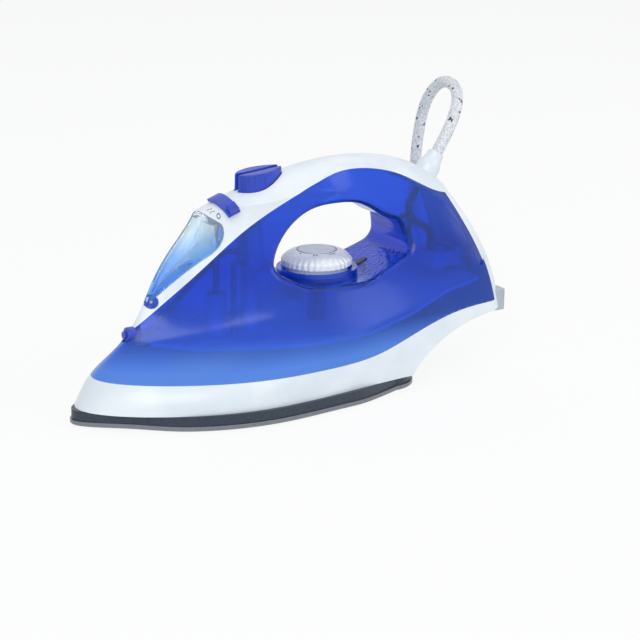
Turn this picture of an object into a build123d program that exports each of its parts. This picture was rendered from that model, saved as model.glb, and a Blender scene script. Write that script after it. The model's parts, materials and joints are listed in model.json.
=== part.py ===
from build123d import *
import math
import os

os.makedirs("parts", exist_ok=True)

# Overall form, millimetres: the nose points to -X, the sole rests on Z = 0
overall_length = 285.0
overall_height = 143.0
sole_length = 222.0
sole_width = 116.0
sole_plate_thickness = 3.0
casting_thickness = 6.0
casting_step = 0.8
skirt_height = 17.0
wall = 2.2
clearance = 0.35
running_fit = 0.05

# Handle and hand opening
crown_radius = 22.0
crown_half_angle = 52.0
handle_thickness = 26.7
opening_corner = 7.0
deck_corner = 30.0
grip_fillet = 6.0
deck_height = 70.0
heel_corner = 14.0
heel_lift = 43.5

# Sole, steam chamber and heater
sole_corner = 20.0
sole_edge = 0.8
vent_diameter = 3.2
vents_per_side = 9
chamber_wall = 3.0
chamber_height = 7.0
chamber_cover_thickness = 1.2
heater_diameter = 7.0
heater_sink = 1.5
heater_pin_diameter = 3.0
heater_pin_length = 9.0

# Tank floor, valve and pumps
tank_floor_thickness = 2.0
tank_floor_gap = 0.25
tank_floor_level = 40.0
valve_x = -46.0
valve_rod_diameter = 4.0
valve_rod_top = 110.0
valve_column_diameter = 13.0
valve_column_height = 26.0
pump_x = -23.5
pump_spread = 5.8
pump_bore = 8.0
pump_wall = 1.2
pump_length = 22.0
pump_top = 106.0
piston_height = 5.0
stem_diameter = 5.0
spring_wire = 0.8
spring_diameter = 7.6
spring_turns = 5

# Steam and spray buttons
button_front = -32.5
button_length = 32.0
button_half_width = 10.5
button_split = 1.2
button_foot = 118.0
button_rise_front = 137.5
button_rise_rear = 142.0
button_taper = 1.5
button_height = 26.0

# Steam slider on the crown
slider_seat_x = -43.5
slider_length = 13.0
slider_thickness = 2.0
slider_half_span = 32.0
slider_throw = 28.0
slider_tab_height = 4.5
slider_tab_length = 9.0
slider_arm = 5.0

# Temperature dial
dial_x = 23.5
dial_diameter = 44.0
dial_skirt_diameter = 38.0
dial_underside = 72.0
dial_rim_bottom = 77.5
dial_rim_top = 80.5
dial_top = 86.0
dial_disc_diameter = 23.0
dial_disc_thickness = 1.0
dial_flutes = 36
flute_radius = 0.9
dial_shaft_diameter = 6.0
boss_diameter = 50.0
boss_height = 5.5
boss_wall = 3.0

# Fill lid, its hinge and the funnel below it
lid_hinge_x = -90.6
lid_hinge_z = 68.6
lid_barrel = 3.8
lid_barrel_sink = 0.4
lid_pin_diameter = 1.6
lid_pin_length = 8.0
lid_ear_width = 3.0
lid_ear_radius = 1.9
lid_grip_length = 9.0
lid_grip_width = 3.4
lid_grip_rise = 0.9
funnel_thickness = 1.6
funnel_inlet = 9.0

# Spray nozzle, pilot lamp, heel feet and rear panel
nozzle_x = -102.0
nozzle_z = 49.5
nozzle_radius = 4.6
nozzle_length = 9.0
lamp_x = 55.0
lamp_length = 9.0
lamp_width = 5.0
lens_rise = 0.8
foot_width = 12.0
foot_height = 13.0
foot_spread = 28.0
foot_depth = 9.0
panel_width = 40.0
panel_bottom = 56.0
panel_top = 102.0
panel_corner = 8.0
screw_head = 6.0
screw_head_height = 3.4

# Mains cord, its guard and its plug
cord_diameter = 7.5
cord_exit_x = 102.5
cord_exit_z = 127.5
cord_exit_angle = 56.0
guard_inside = 12.0
guard_outside = 12.0
guard_base_radius = 7.5
guard_tip_radius = 5.2
coil_pitch = 8.3
coil_outer_radius = 51.0
coil_half_turns = 5
coil_centre_x = 98.0
coil_centre_y = 133.0
tie_width = 8.0
tie_thickness = 1.0
plug_diameter = 37.0
plug_back_diameter = 25.0
plug_length = 31.0
plug_guard_length = 22.0
plug_guard_tip = 10.5
plug_pin_diameter = 4.8
plug_pin_length = 19.0
plug_pin_spacing = 19.0
terminal_x = 112.0
terminal_z = 66.0

# Levels and limits worked out from the sizes above
nose = -overall_length / 2
heel = overall_length / 2
base_top = sole_plate_thickness + casting_thickness
skirt_top = base_top + skirt_height
grip_underside = overall_height - handle_thickness
half_sole = sole_width / 2
sole_rear = nose + sole_length
far_side = sole_width
shaft_radius = dial_shaft_diameter / 2
cord_radius = cord_diameter / 2
cord_floor = cord_radius + clearance + tie_thickness + 0.1

# Housing outline at rising heights: height, nose setback, half widths at four stations, tail setback
body_stations = (
    (base_top, 4.0, half_sole - 11.5, half_sole - 3.5, 43.0, 38.5, -0.5),
    (skirt_top, 15.0, half_sole - 13.5, half_sole - 4.5, 43.0, 38.5, 0.0),
    (skirt_top + 14, 29.0, 31.0, 48.0, 42.0, 38.0, 1.0),
    (skirt_top + 29, 42.0, 21.0, 38.5, 38.5, 36.0, 3.0),
    (skirt_top + 44, 50.0, 17.5, 29.0, 32.0, 33.0, 6.5),
    (skirt_top + 64, 61.0, 16.0, 20.0, 24.0, 27.0, 14.0),
    (skirt_top + 90, 81.0, 15.5, 17.5, 18.5, 20.0, 30.5),
    (overall_height + 7, 104.0, 15.5, 17.5, 17.5, 17.5, 54.5),
)
station_shares = (0.20, 0.41, 0.69)

# Side view curves as (x, drop below the top of the handle)
crown_points = ((-84, 39), (-58.5, 25), (slider_seat_x, 19), (0.5, 5), (39.5, 0), (84.5, 7), (109.5, 21),
                (145, 55))
cover_seam = ((-104, 92), (-91.5, 81.5), (-64.5, 59.5), (-38.5, 39), (-11.5, 22), (15.5, 10.5), (43.5, 6.5),
              (72.5, 12), (92, 22), (106, 27))
rear_seam = ((106, 27), (113, 39.5), (120, 53), (127, 70), (131.5, 88), (133.5, 102))
lid_edge = ((-92.4, 75.8), (-84.5, 69), (-70.5, 58), (-59.5, 51), (-50.5, 45), (-46, 36), (-47, 31))
lid_crest = (-60, 22)
lid_grip_place = (-52, 103)
lid_grip_lean = 60.0

# Side view curves as (x, height)
skirt_seam = ((-150, skirt_top), (5, skirt_top), (44.5, skirt_top + 2.5), (73.5, skirt_top + 11),
              (102.5, skirt_top + 19), (126.5, skirt_top + 21.5), (150, skirt_top + 22))
tank_floor_line = ((-94, 3.5), (-66, 0), (36, 0), (70, 7), (98, 17), (122, 21.6))
hand_opening = ((-15, -36.3), (-12.5, -25.3), (-3, -11.3), (10, -2.3), (31, 0), (50, -3.3), (65, -12.3),
                (76, -33.3))
deck_corners = ((44, deck_height), (3, deck_height))


def below_top(points):
    """Turn (x, drop) pairs into side view points."""
    return [(x, overall_height - drop) for x, drop in points]


def save(part, name):
    """Label a finished piece and write its STEP file."""
    part.label = name
    export_step(part, f"parts/{name}.step")


def side_sketch():
    """Plane of the side view, off to the near side, for cuts that run across the whole body."""
    return Plane.XZ.offset(-far_side)


across = 2 * far_side


def station_outline(station, inset):
    """Plan outline of the housing at one of its stations, as a sketch."""
    height, nose_setback, front, middle, quarter, tail, tail_setback = station
    tip = nose + nose_setback + inset
    back = heel - tail_setback - inset
    corner = heel_corner - inset
    stations = [tip + share * (back - tip) for share in station_shares]
    near = [(back - corner, tail - inset), (stations[2], quarter - inset)]
    near += [(stations[1], middle - inset), (stations[0], front - inset)]
    far = [(x, -y) for x, y in reversed(near)]
    bulge = corner * (1 - math.sqrt(0.5))
    flat = tail - inset - corner
    with BuildSketch() as outline:
        with BuildLine():
            Spline(*near, (tip, 0), *far, tangents=[(-1, 0.05), (1, 0.05)])
            ThreePointArc(far[-1], (back - bulge, bulge - tail + inset), (back, -flat))
            Line((back, -flat), (back, flat))
            ThreePointArc((back, flat), (back - bulge, tail - inset - bulge), near[0])
        make_face()
    return outline.sketch


def beside(edge, distance):
    """Points a distance to the left of a side view edge."""
    shares = [i / 12 for i in range(13)]
    normals = [Vector(-(edge % share).Y, (edge % share).X) for share in shares]
    return [tuple(edge @ share + normal * distance)[:2] for share, normal in zip(shares, normals)]


def opening_outline(inset):
    """Side view of the hand opening, grown by the wall where it cuts the hollow inside."""
    with BuildLine() as curve:
        Spline(*[(x, grip_underside + z) for x, z in hand_opening], tangents=[(0, 1), (0.15, -1)])
    arch = curve.edge()
    grown = [(x, grip_underside + z) for x, z in hand_opening]
    if inset:
        grown = beside(arch, inset)
    corners = [(x, z - inset) for x, z in deck_corners]
    with BuildSketch() as outline:
        with BuildLine():
            Spline(*grown, tangents=[(0, 1), (0.15, -1)])
            Polyline(grown[-1], *corners, grown[0])
        make_face()
        fillet(outline.vertices().sort_by(Axis.Y)[-2:], opening_corner)
        fillet(outline.vertices().group_by(Axis.Y)[0], deck_corner)
    return outline.sketch


def body_form(inset):
    """Solid form of the housing; inset by a wall it is the hollow inside."""
    with BuildPart() as form:
        for station in body_stations:
            with BuildSketch(Plane.XY.offset(station[0])):
                add(station_outline(station, inset))
        loft()
        # Domed top of the handle, rolled along the side view of the crown
        with BuildLine(Plane.XZ) as crown:
            Spline(*below_top(crown_points))
        path = crown.line
        with BuildSketch(Plane(origin=path @ 0, x_dir=(0, 1, 0), z_dir=path % 0)):
            with BuildLine():
                radius = crown_radius - inset
                angle = math.radians(crown_half_angle)
                edge = radius * math.sin(angle)
                shoulder = radius * math.cos(angle) - crown_radius
                reach = 1.5 * crown_radius
                eaves = shoulder - (reach - edge) * math.tan(angle)
                ThreePointArc((-edge, shoulder), (0, -inset), (edge, shoulder))
                Polyline((edge, shoulder), (reach, eaves), (reach, handle_thickness * 2),
                         (-reach, handle_thickness * 2), (-reach, eaves), (-edge, shoulder))
            make_face()
        sweep(path=path, mode=Mode.SUBTRACT)
        # Heel swept up behind the sole
        with BuildSketch(side_sketch()):
            with BuildLine():
                underside = Spline((heel + 7.5, heel_lift + inset),
                                   (heel - 25 - 0.4 * inset, heel_lift - 4.5 + inset),
                                   (heel - 49 - 0.6 * inset, heel_lift - 13.5 + inset),
                                   (sole_rear + 2 - 0.8 * inset, heel_lift - 21.5 + 0.8 * inset),
                                   (sole_rear - 10 - inset, base_top), tangents=[(-1, -0.1), (-0.5, -1)])
                Polyline(underside @ 1, (sole_rear - 10 - inset, 0), (heel + 7.5, 0), underside @ 0)
            make_face()
        extrude(amount=across, mode=Mode.SUBTRACT)
        # Opening for the hand, with its edges rounded on the outside
        with BuildSketch(side_sketch()):
            add(opening_outline(inset))
        extrude(amount=across, mode=Mode.SUBTRACT)
        if not inset:
            inside = form.edges().filter_by(lambda e: abs(e.center().Y) > wall)
            inside = inside.filter_by_position(Axis.Z, deck_height - 1, grip_underside + 1)
            fillet(inside.filter_by_position(Axis.X, -16, 77), grip_fillet)
    return form.part


def skirt_zone():
    """Side view of everything below the seam between skirt and tank."""
    with BuildSketch() as zone:
        with BuildLine():
            seam = Spline(*skirt_seam, tangents=[(1, 0), (1, 0)])
            Polyline(seam @ 1, (heel + 8, 0), (nose - 8, 0), seam @ 0)
        make_face()
    return zone.sketch


def tank_zone():
    """Side view of everything below and ahead of the handle cover's seam."""
    with BuildSketch() as zone:
        with BuildLine():
            front = Spline(*below_top(cover_seam))
            rear = Spline(*below_top(rear_seam))
            Polyline(rear @ 1, ((rear @ 1).X, 0), (nose - 8, 0), (nose - 8, (front @ 0).Y), front @ 0)
        make_face()
    return zone.sketch


def lid_zone(gap):
    """Side view of the fill lid, drawn in by a gap."""
    with BuildLine() as curve:
        Spline(*below_top(lid_edge))
    with BuildSketch() as zone:
        with BuildLine():
            edge = Spline(*beside(curve.edge(), gap))
            crest = (lid_crest[0] - gap, overall_height - lid_crest[1])
            outside = lid_edge[0][0] - 14
            Polyline(edge @ 1, crest, (outside, crest[1]), (outside, (edge @ 0).Y), edge @ 0)
        make_face()
    return zone.sketch


def button_outline(side, gap):
    """Half almond of one push button, on the far (+1) or near (-1) side of the split."""
    width = button_half_width + gap
    split = button_split - gap
    front = button_front - gap
    length = button_length + 2 * gap
    curve = ((0, 0), (0.16, 0.72), (0.42, 1.0), (0.74, 0.72), (1, 0))
    with BuildSketch() as outline:
        with BuildLine():
            swell = width - split
            points = [(front + share * length, side * (split + rise * swell)) for share, rise in curve]
            rim = Spline(*points[::-side])
            Line(rim @ 1, rim @ 0)
        make_face()
        fillet(outline.vertices(), 1.2 + gap)
    return outline.sketch


def sole_outline(inset):
    """Pointed outline of the sole as a sketch."""
    half = half_sole - inset
    rear = sole_rear - inset
    corner = sole_corner
    near = [(rear - corner, half - 19), (nose + 157.5, half - 5), (nose + 115.5, half)]
    near += [(nose + 80.5, half - 3), (nose + 50.5, half - 14.5), (nose + 24, half - 35)]
    far = [(x, -y) for x, y in reversed(near)]
    bulge = corner * (1 - math.sqrt(0.5))
    flat = half - 19 - corner
    with BuildSketch() as outline:
        with BuildLine():
            Spline(*near, (nose + 1.2 * inset, 0), *far, tangents=[(-1, 0.45), (1, 0.45)])
            ThreePointArc(far[-1], (rear - bulge, bulge - half + 19), (rear, -flat))
            Line((rear, -flat), (rear, flat))
            ThreePointArc((rear, flat), (rear - bulge, half - 19 - bulge), near[0])
        make_face()
    return outline.sketch


def chamber_outline(inset):
    """Teardrop outline of the steam chamber as a sketch."""
    near = [(2 - inset, 33 - inset), (nose + 115.5, 36.5 - inset), (nose + 77.5, 27 - inset)]
    far = [(x, -y) for x, y in reversed(near)]
    with BuildSketch() as outline:
        with BuildLine():
            Spline(*near, (nose + 44.5 + 1.4 * inset, 0), *far)
            Line(far[-1], near[0])
        make_face()
    return outline.sketch


STAND = (Align.CENTER, Align.CENTER, Align.MIN)
HANG = (Align.CENTER, Align.CENTER, Align.MAX)

outer_form = body_form(0)
inside_form = body_form(wall + tank_floor_gap)
hollow_form = body_form(wall)
with BuildPart() as housing:
    add(outer_form)
    add(hollow_form, mode=Mode.SUBTRACT)
shell = housing.part

# Sole plate with its steam vents
with BuildLine() as vent_line:
    Spline((-5, 24), (nose + 115.5, 28), (nose + 77.5, 19), (nose + 60, 7))
vent_places = [vent_line.line @ (i / (vents_per_side - 1)) for i in range(vents_per_side)]
vent_places += [Vector(p.X, -p.Y) for p in vent_places]
with BuildPart() as sole_plate:
    with BuildSketch():
        add(sole_outline(0))
    extrude(amount=sole_plate_thickness)
    chamfer(sole_plate.faces().sort_by(Axis.Z)[0].edges(), sole_edge)
    with Locations(*[(p.X, p.Y, sole_plate_thickness) for p in vent_places]):
        Hole(vent_diameter / 2)
save(sole_plate.part, "sole_plate")

# Die-cast base with the steam chamber wall and the heater bed
heater_z = base_top + heater_diameter / 2 - heater_sink
with BuildLine(Plane.XY.offset(heater_z)) as heater_path:
    FilletPolyline((50, 30), (8, 40), (-38, 45), (-82, 33), (-123, 0), (-82, -33), (-38, -45), (8, -40),
                   (50, -30), radius=[90, 90, 90, 11, 90, 90, 90])
heater_run = heater_path.wire()
with BuildPart() as heating_element:
    with BuildSketch(Plane(origin=heater_run @ 0, z_dir=heater_run % 0)):
        Circle(heater_diameter / 2)
    sweep(path=heater_run)
    for end in heating_element.faces().filter_by(GeomType.PLANE):
        with BuildSketch(Plane(end)):
            Circle(heater_pin_diameter / 2)
        extrude(amount=heater_pin_length)
save(heating_element.part, "heating_element")

with BuildPart() as sole_casting:
    with BuildSketch(Plane.XY.offset(sole_plate_thickness)):
        add(sole_outline(casting_step))
    extrude(amount=casting_thickness)
    with BuildSketch(Plane.XY.offset(base_top)):
        add(chamber_outline(0))
        add(chamber_outline(chamber_wall), mode=Mode.SUBTRACT)
    extrude(amount=chamber_height)
    add(heating_element.part, mode=Mode.SUBTRACT)
    with Locations(*[(p.X, p.Y, base_top) for p in vent_places]):
        Hole(vent_diameter / 2)
save(sole_casting.part, "sole_casting")

with BuildPart() as chamber_cover:
    with BuildSketch(Plane.XY.offset(base_top + chamber_height)):
        add(chamber_outline(0))
        with Locations((valve_x, 0)):
            Circle(valve_column_diameter / 2 - 2, mode=Mode.SUBTRACT)
    extrude(amount=chamber_cover_thickness)
save(chamber_cover.part, "steam_chamber_cover")

# Thermostat under the dial: frame, bimetal blade and thermal fuse
thermostat_size = (24, 16, 7)
thermostat_top = base_top + thermostat_size[2]
blade_thickness = 0.8
with BuildPart() as thermostat:
    with Locations((dial_x, 0, base_top)):
        Box(*thermostat_size, align=STAND)
    fillet(thermostat.edges().filter_by(Axis.Z), 2)
    with Locations((dial_x, 0, thermostat_top)):
        Hole(shaft_radius + running_fit)
save(thermostat.part, "thermostat_frame")

with BuildPart() as blade:
    with BuildSketch(Plane.XY.offset(thermostat_top)):
        with Locations((dial_x + 8, 0)):
            SlotOverall(40, 9)
        with Locations((dial_x, 0)):
            Circle(shaft_radius + clearance, mode=Mode.SUBTRACT)
    extrude(amount=blade_thickness)
save(blade.part, "bimetal_blade")

fuse_diameter = 4.0
fuse_length = 15.0
with BuildPart() as fuse:
    with Locations(Location((dial_x + 4, 19, base_top + fuse_diameter / 2), (0, 90, 0))):
        Cylinder(fuse_diameter / 2, fuse_length)
    fillet(fuse.edges(), 0.8)
    with Locations((dial_x + 4, 19, base_top)):
        Box(fuse_length - 4, fuse_diameter, fuse_diameter / 2, align=STAND)
save(fuse.part, "thermal_fuse")

# White skirt: lower band of the housing, its web and the post for the terminals
post_radius = 5.0
web_hole = 9.0
with BuildPart() as skirt:
    add(shell)
    with BuildSketch(side_sketch()):
        add(skirt_zone())
    extrude(amount=across, mode=Mode.INTERSECT)
    with BuildSketch(Plane.XY.offset(skirt_top - wall)):
        add(station_outline(body_stations[1], wall / 2))
        with Locations((sole_rear - 12, 0)):
            Rectangle(overall_length, across, align=(Align.MIN, Align.CENTER), mode=Mode.SUBTRACT)
        with Locations((dial_x, 0), (valve_x, 0), (dial_x + 30, 0)):
            Circle(web_hole, mode=Mode.SUBTRACT)
    extrude(amount=wall)
    with Locations((terminal_x, 0, heel_lift - 4.2)):
        Cylinder(post_radius, terminal_z - heel_lift + 4.2, align=STAND)
save(skirt.part, "skirt")

# Translucent tank body with the deck, the dial boss, the shaft sleeve and the lamp window
deck_rear = (hand_opening[-1][0], grip_underside + hand_opening[-1][1])
deck_slope = math.atan2(deck_rear[1] - deck_height, deck_rear[0] - deck_corners[0][0])
lamp_z = deck_height + (lamp_x - deck_corners[0][0]) * math.tan(deck_slope)
lamp_plane = Plane(origin=(lamp_x, 0, lamp_z), x_dir=(math.cos(deck_slope), 0, math.sin(deck_slope)),
                   z_dir=(-math.sin(deck_slope), 0, math.cos(deck_slope)))
sleeve_radius = shaft_radius + 3
sleeve_bottom = tank_floor_level + tank_floor_thickness
with BuildPart() as tank_body:
    add(shell)
    with BuildSketch(side_sketch()):
        add(tank_zone())
        add(skirt_zone(), mode=Mode.SUBTRACT)
    extrude(amount=across, mode=Mode.INTERSECT)
    with Locations((dial_x, 0, deck_height - wall)):
        Cylinder(boss_diameter / 2, boss_height + wall, align=STAND)
    with Locations((dial_x, 0, deck_height)):
        Cylinder(boss_diameter / 2 - boss_wall, boss_height, align=STAND, mode=Mode.SUBTRACT)
    with Locations((dial_x, 0, sleeve_bottom)):
        Cylinder(sleeve_radius, deck_height - sleeve_bottom, align=STAND)
        Cylinder(shaft_radius + running_fit, deck_height - sleeve_bottom, align=STAND, mode=Mode.SUBTRACT)
    with BuildSketch(lamp_plane):
        SlotOverall(lamp_length, lamp_width)
    extrude(amount=2 * wall, both=True, mode=Mode.SUBTRACT)
    with Locations(Location((nozzle_x + nozzle_length, 0, nozzle_z), (0, -90, 0))):
        Cylinder(nozzle_radius, 2 * nozzle_length, align=STAND, mode=Mode.SUBTRACT)
save(tank_body.part, "tank_body")

# Tank floor, a tray that follows the walls a hair inside them and stands on the skirt's web
floor_posts = ((-62, 14), (-62, -14), (4, 24), (4, -24))
with BuildPart() as tank_floor:
    add(inside_form)
    with BuildSketch(side_sketch()):
        with BuildLine():
            under = FilletPolyline(*[(x, tank_floor_level + z) for x, z in tank_floor_line], radius=25)
            over = FilletPolyline(*[(x, sleeve_bottom + z) for x, z in tank_floor_line], radius=25)
            Line(under @ 0, over @ 0)
            Line(under @ 1, over @ 1)
        make_face()
    extrude(amount=across, mode=Mode.INTERSECT)
    with Locations(*[(x, y, skirt_top) for x, y in floor_posts]):
        Cylinder(4, tank_floor_level - skirt_top + 1, align=STAND)
    with Locations((dial_x, 0, sleeve_bottom)):
        Hole(shaft_radius + clearance)
    with Locations((valve_x, 0, sleeve_bottom)):
        Hole(valve_column_diameter / 2 - 3)
    with Locations((terminal_x, 0, terminal_z)):
        Cylinder(post_radius + clearance, terminal_z, align=HANG, mode=Mode.SUBTRACT)
save(tank_floor.part, "tank_floor")

# Drip valve: hollow column on the tank floor and the rod that closes it
rod_radius = valve_rod_diameter / 2
chamber_top = base_top + chamber_height
seat_bottom = chamber_top + chamber_cover_thickness
with BuildPart() as valve_seat:
    with Locations((valve_x, 0, sleeve_bottom)):
        Cylinder(valve_column_diameter / 2, valve_column_height, align=STAND)
    with Locations((valve_x, 0, chamber_top)):
        Cylinder(valve_column_diameter / 2 - 3, sleeve_bottom - chamber_top, align=STAND)
    with Locations((valve_x, 0, sleeve_bottom + valve_column_height)):
        Hole(rod_radius + running_fit)
save(valve_seat.part, "valve_seat")

with BuildPart() as valve_rod:
    with Locations((valve_x, 0, seat_bottom + 6)):
        Cylinder(rod_radius, valve_rod_top - seat_bottom - 6, align=STAND)
    with Locations((valve_x, 0, valve_rod_top)):
        Cylinder(rod_radius + 1, 2, align=HANG)
    chamfer(valve_rod.edges().sort_by(Axis.Z)[0], 1)
save(valve_rod.part, "valve_rod")

# Twin pump block on its column, with its pistons, springs and buttons
pump_radius = pump_bore / 2 + pump_wall
pump_base = pump_top - pump_length
pump_cap = 2.0
with BuildPart() as pump_block:
    with BuildSketch(Plane.XY.offset(pump_base - pump_cap)):
        with Locations((pump_x, 0)):
            SlotOverall(2 * (pump_spread + pump_radius), 2 * pump_radius, rotation=90)
    extrude(amount=pump_cap)
    with Locations((pump_x, pump_spread, pump_top), (pump_x, -pump_spread, pump_top)):
        Cylinder(pump_radius, pump_length, align=HANG)
    with Locations((pump_x, pump_spread, pump_top - pump_cap), (pump_x, -pump_spread, pump_top - pump_cap)):
        Cylinder(pump_bore / 2, pump_length - pump_cap, align=HANG, mode=Mode.SUBTRACT)
    with Locations((pump_x, pump_spread, pump_top), (pump_x, -pump_spread, pump_top)):
        Cylinder(stem_diameter / 2 + running_fit, pump_cap, align=HANG, mode=Mode.SUBTRACT)
    with Locations((pump_x, 0, sleeve_bottom)):
        Cylinder(pump_radius, pump_base - pump_cap - sleeve_bottom, align=STAND)
save(pump_block.part, "pump_block")

piston_top = pump_top - pump_cap - 0.5
for name, side in (("steam", -1), ("spray", 1)):
    with BuildPart() as piston:
        with Locations((pump_x, side * pump_spread, piston_top)):
            Cylinder(pump_bore / 2 - running_fit, piston_height, align=HANG)
            Cylinder(stem_diameter / 2, button_foot - piston_top, align=STAND)
    save(piston.part, f"{name}_piston")

    with BuildPart() as spring:
        with BuildLine() as spring_line:
            rise = button_foot - pump_top - spring_wire - 0.1
            Helix(pitch=rise / spring_turns, height=rise, radius=(spring_diameter - spring_wire) / 2,
                  center=(pump_x, side * pump_spread, pump_top + spring_wire / 2 + 0.05))
        with BuildSketch(Plane(origin=spring_line.line @ 0, z_dir=spring_line.line % 0)):
            RegularPolygon(spring_wire / 2, 8)
        sweep(path=spring_line.line, is_frenet=True)
    save(spring.part, f"{name}_spring")

    with BuildPart() as button:
        with BuildSketch(Plane.XY.offset(button_foot)):
            add(button_outline(side, 0))
        extrude(amount=button_height, dir=(0, 0, 1), taper=button_taper)
        with BuildSketch(side_sketch()):
            with BuildLine():
                before = button_front - 5
                behind = button_front + button_length + 5
                above = overall_height + 40
                Polyline((before, button_rise_front), (behind, button_rise_rear), (behind, above),
                         (before, above), close=True)
            make_face()
        extrude(amount=across, mode=Mode.SUBTRACT)
        fillet(button.faces().sort_by(Axis.Z)[-1].edges(), 0.8)
    save(button.part, f"{name}_button")

# Steam slider: a saddle that rolls round the crown, with a thumb tab, an arm and a shoe under the cover
with BuildLine(Plane.XZ) as crown_line:
    Spline(*below_top(crown_points))
crown_edge = crown_line.edge()
seat_point = Vector(slider_seat_x, 0, overall_height - crown_points[2][1])
slide_along = crown_edge % crown_edge.param_at_point(seat_point)
slide_up = Vector(-slide_along.Z, 0, slide_along.X)
slider_axis = seat_point - slide_up * crown_radius
slider_plane = Plane(origin=slider_axis, x_dir=(0, 1, 0), z_dir=slide_along)
saddle_inner = crown_radius + clearance
saddle_outer = saddle_inner + slider_thickness
shoe_outer = crown_radius - wall - clearance
slider_rest = 90 + slider_throw / 2


def sector(inner, outer, start, end):
    """Ring sector about the slider's axis, angles in degrees from the far side over the top."""
    with BuildSketch() as shape:
        with BuildLine():
            low = CenterArc((0, 0), inner, start, end - start)
            high = CenterArc((0, 0), outer, start, end - start)
            Line(low @ 0, high @ 0)
            Line(low @ 1, high @ 1)
        make_face()
    return shape.sketch


with BuildPart() as slider:
    with BuildSketch(slider_plane):
        far_end = slider_rest - slider_half_span
        near_end = slider_rest + slider_half_span
        add(sector(saddle_inner, saddle_outer, far_end, near_end))
    extrude(amount=slider_length / 2, both=True)
    fillet(slider.edges(), 0.5)
    with BuildSketch(slider_plane):
        add(sector(saddle_outer - 0.5, saddle_outer + slider_tab_height, near_end - 13, near_end - 1))
    extrude(amount=slider_tab_length / 2, both=True)
    fillet(slider.faces().sort_by_distance(slider_axis)[-1].edges(), 1.0)
    with BuildSketch(slider_plane):
        add(sector(shoe_outer - 1, saddle_inner + 0.5, slider_rest - 4, slider_rest + 4))
    extrude(amount=slider_arm / 2, both=True)
    with BuildSketch(slider_plane):
        add(sector(shoe_outer - 1.5, shoe_outer, slider_rest - 8, slider_rest + 8))
    extrude(amount=slider_arm / 2 + 1.5, both=True)
save(slider.part, "steam_slider")

# White handle cover: crown, nose and back, with room for the lid, buttons, slider, panel and cord
exit_direction = Vector(math.cos(math.radians(cord_exit_angle)), 0, math.sin(math.radians(cord_exit_angle)))
exit_point = Vector(cord_exit_x, 0, cord_exit_z)
guard_plane = Plane(origin=exit_point - exit_direction * guard_inside, z_dir=exit_direction)
hinge = Location((lid_hinge_x, 0, lid_hinge_z), (90, 0, 0))
panel_middle = (panel_bottom + panel_top) / 2
panel_plane = Plane(origin=(heel - 45, 0, panel_middle), x_dir=(0, 1, 0), z_dir=(1, 0, 0))
with BuildPart() as handle_cover:
    add(shell)
    with BuildSketch(side_sketch()):
        add(tank_zone())
        add(skirt_zone())
        add(lid_zone(0))
    extrude(amount=across, mode=Mode.SUBTRACT)
    with Locations(hinge):
        Cylinder(lid_barrel + clearance, across, mode=Mode.SUBTRACT)
    with BuildSketch(Plane.XY.offset(button_foot - 5)):
        add(button_outline(1, clearance))
        add(button_outline(-1, clearance))
    extrude(amount=button_height, mode=Mode.SUBTRACT)
    with BuildSketch(slider_plane):
        slot_half = slider_throw / 2 + 6
        add(sector(shoe_outer - 3, saddle_outer, 90 - slot_half, 90 + slot_half))
    extrude(amount=slider_arm / 2 + clearance, both=True, mode=Mode.SUBTRACT)
    with BuildSketch(panel_plane):
        RectangleRounded(panel_width, panel_top - panel_bottom, panel_corner)
    extrude(amount=60, mode=Mode.SUBTRACT)
    with Locations(guard_plane.location):
        Cylinder(guard_base_radius, guard_inside + 20, align=STAND, mode=Mode.SUBTRACT)
    with Locations(Location((nozzle_x + nozzle_length, 0, nozzle_z), (0, -90, 0))):
        Cylinder(nozzle_radius, 2 * nozzle_length, align=STAND, mode=Mode.SUBTRACT)
save(handle_cover.part, "handle_cover")

screw_places = [Location((heel - 9.5, 0, panel_bottom + 8), (0, 90, 0)),
                Location((heel - 20.5, 0, panel_top - 8), (0, 90, 0))]
with BuildPart() as rear_cover:
    add(shell)
    with BuildSketch(panel_plane):
        RectangleRounded(panel_width, panel_top - panel_bottom, panel_corner)
    extrude(amount=60, mode=Mode.INTERSECT)
    with Locations(*screw_places):
        Cylinder(screw_head / 2 + running_fit, 20, align=STAND, mode=Mode.SUBTRACT)
save(rear_cover.part, "rear_cover")

with BuildPart() as rear_screws:
    with Locations(*screw_places):
        Cylinder(screw_head / 2, screw_head_height, align=STAND)
save(rear_screws.part, "rear_screws")

with BuildPart() as heel_feet:
    with Locations((heel, foot_spread, heel_lift - 3.5), (heel, -foot_spread, heel_lift - 3.5)):
        Box(foot_depth, foot_width, foot_height, align=(Align.MAX, Align.CENTER, Align.MIN))
    fillet(heel_feet.edges().filter_by(Axis.Z), 2.5)
    add(outer_form, mode=Mode.SUBTRACT)
save(heel_feet.part, "heel_feet")

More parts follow.
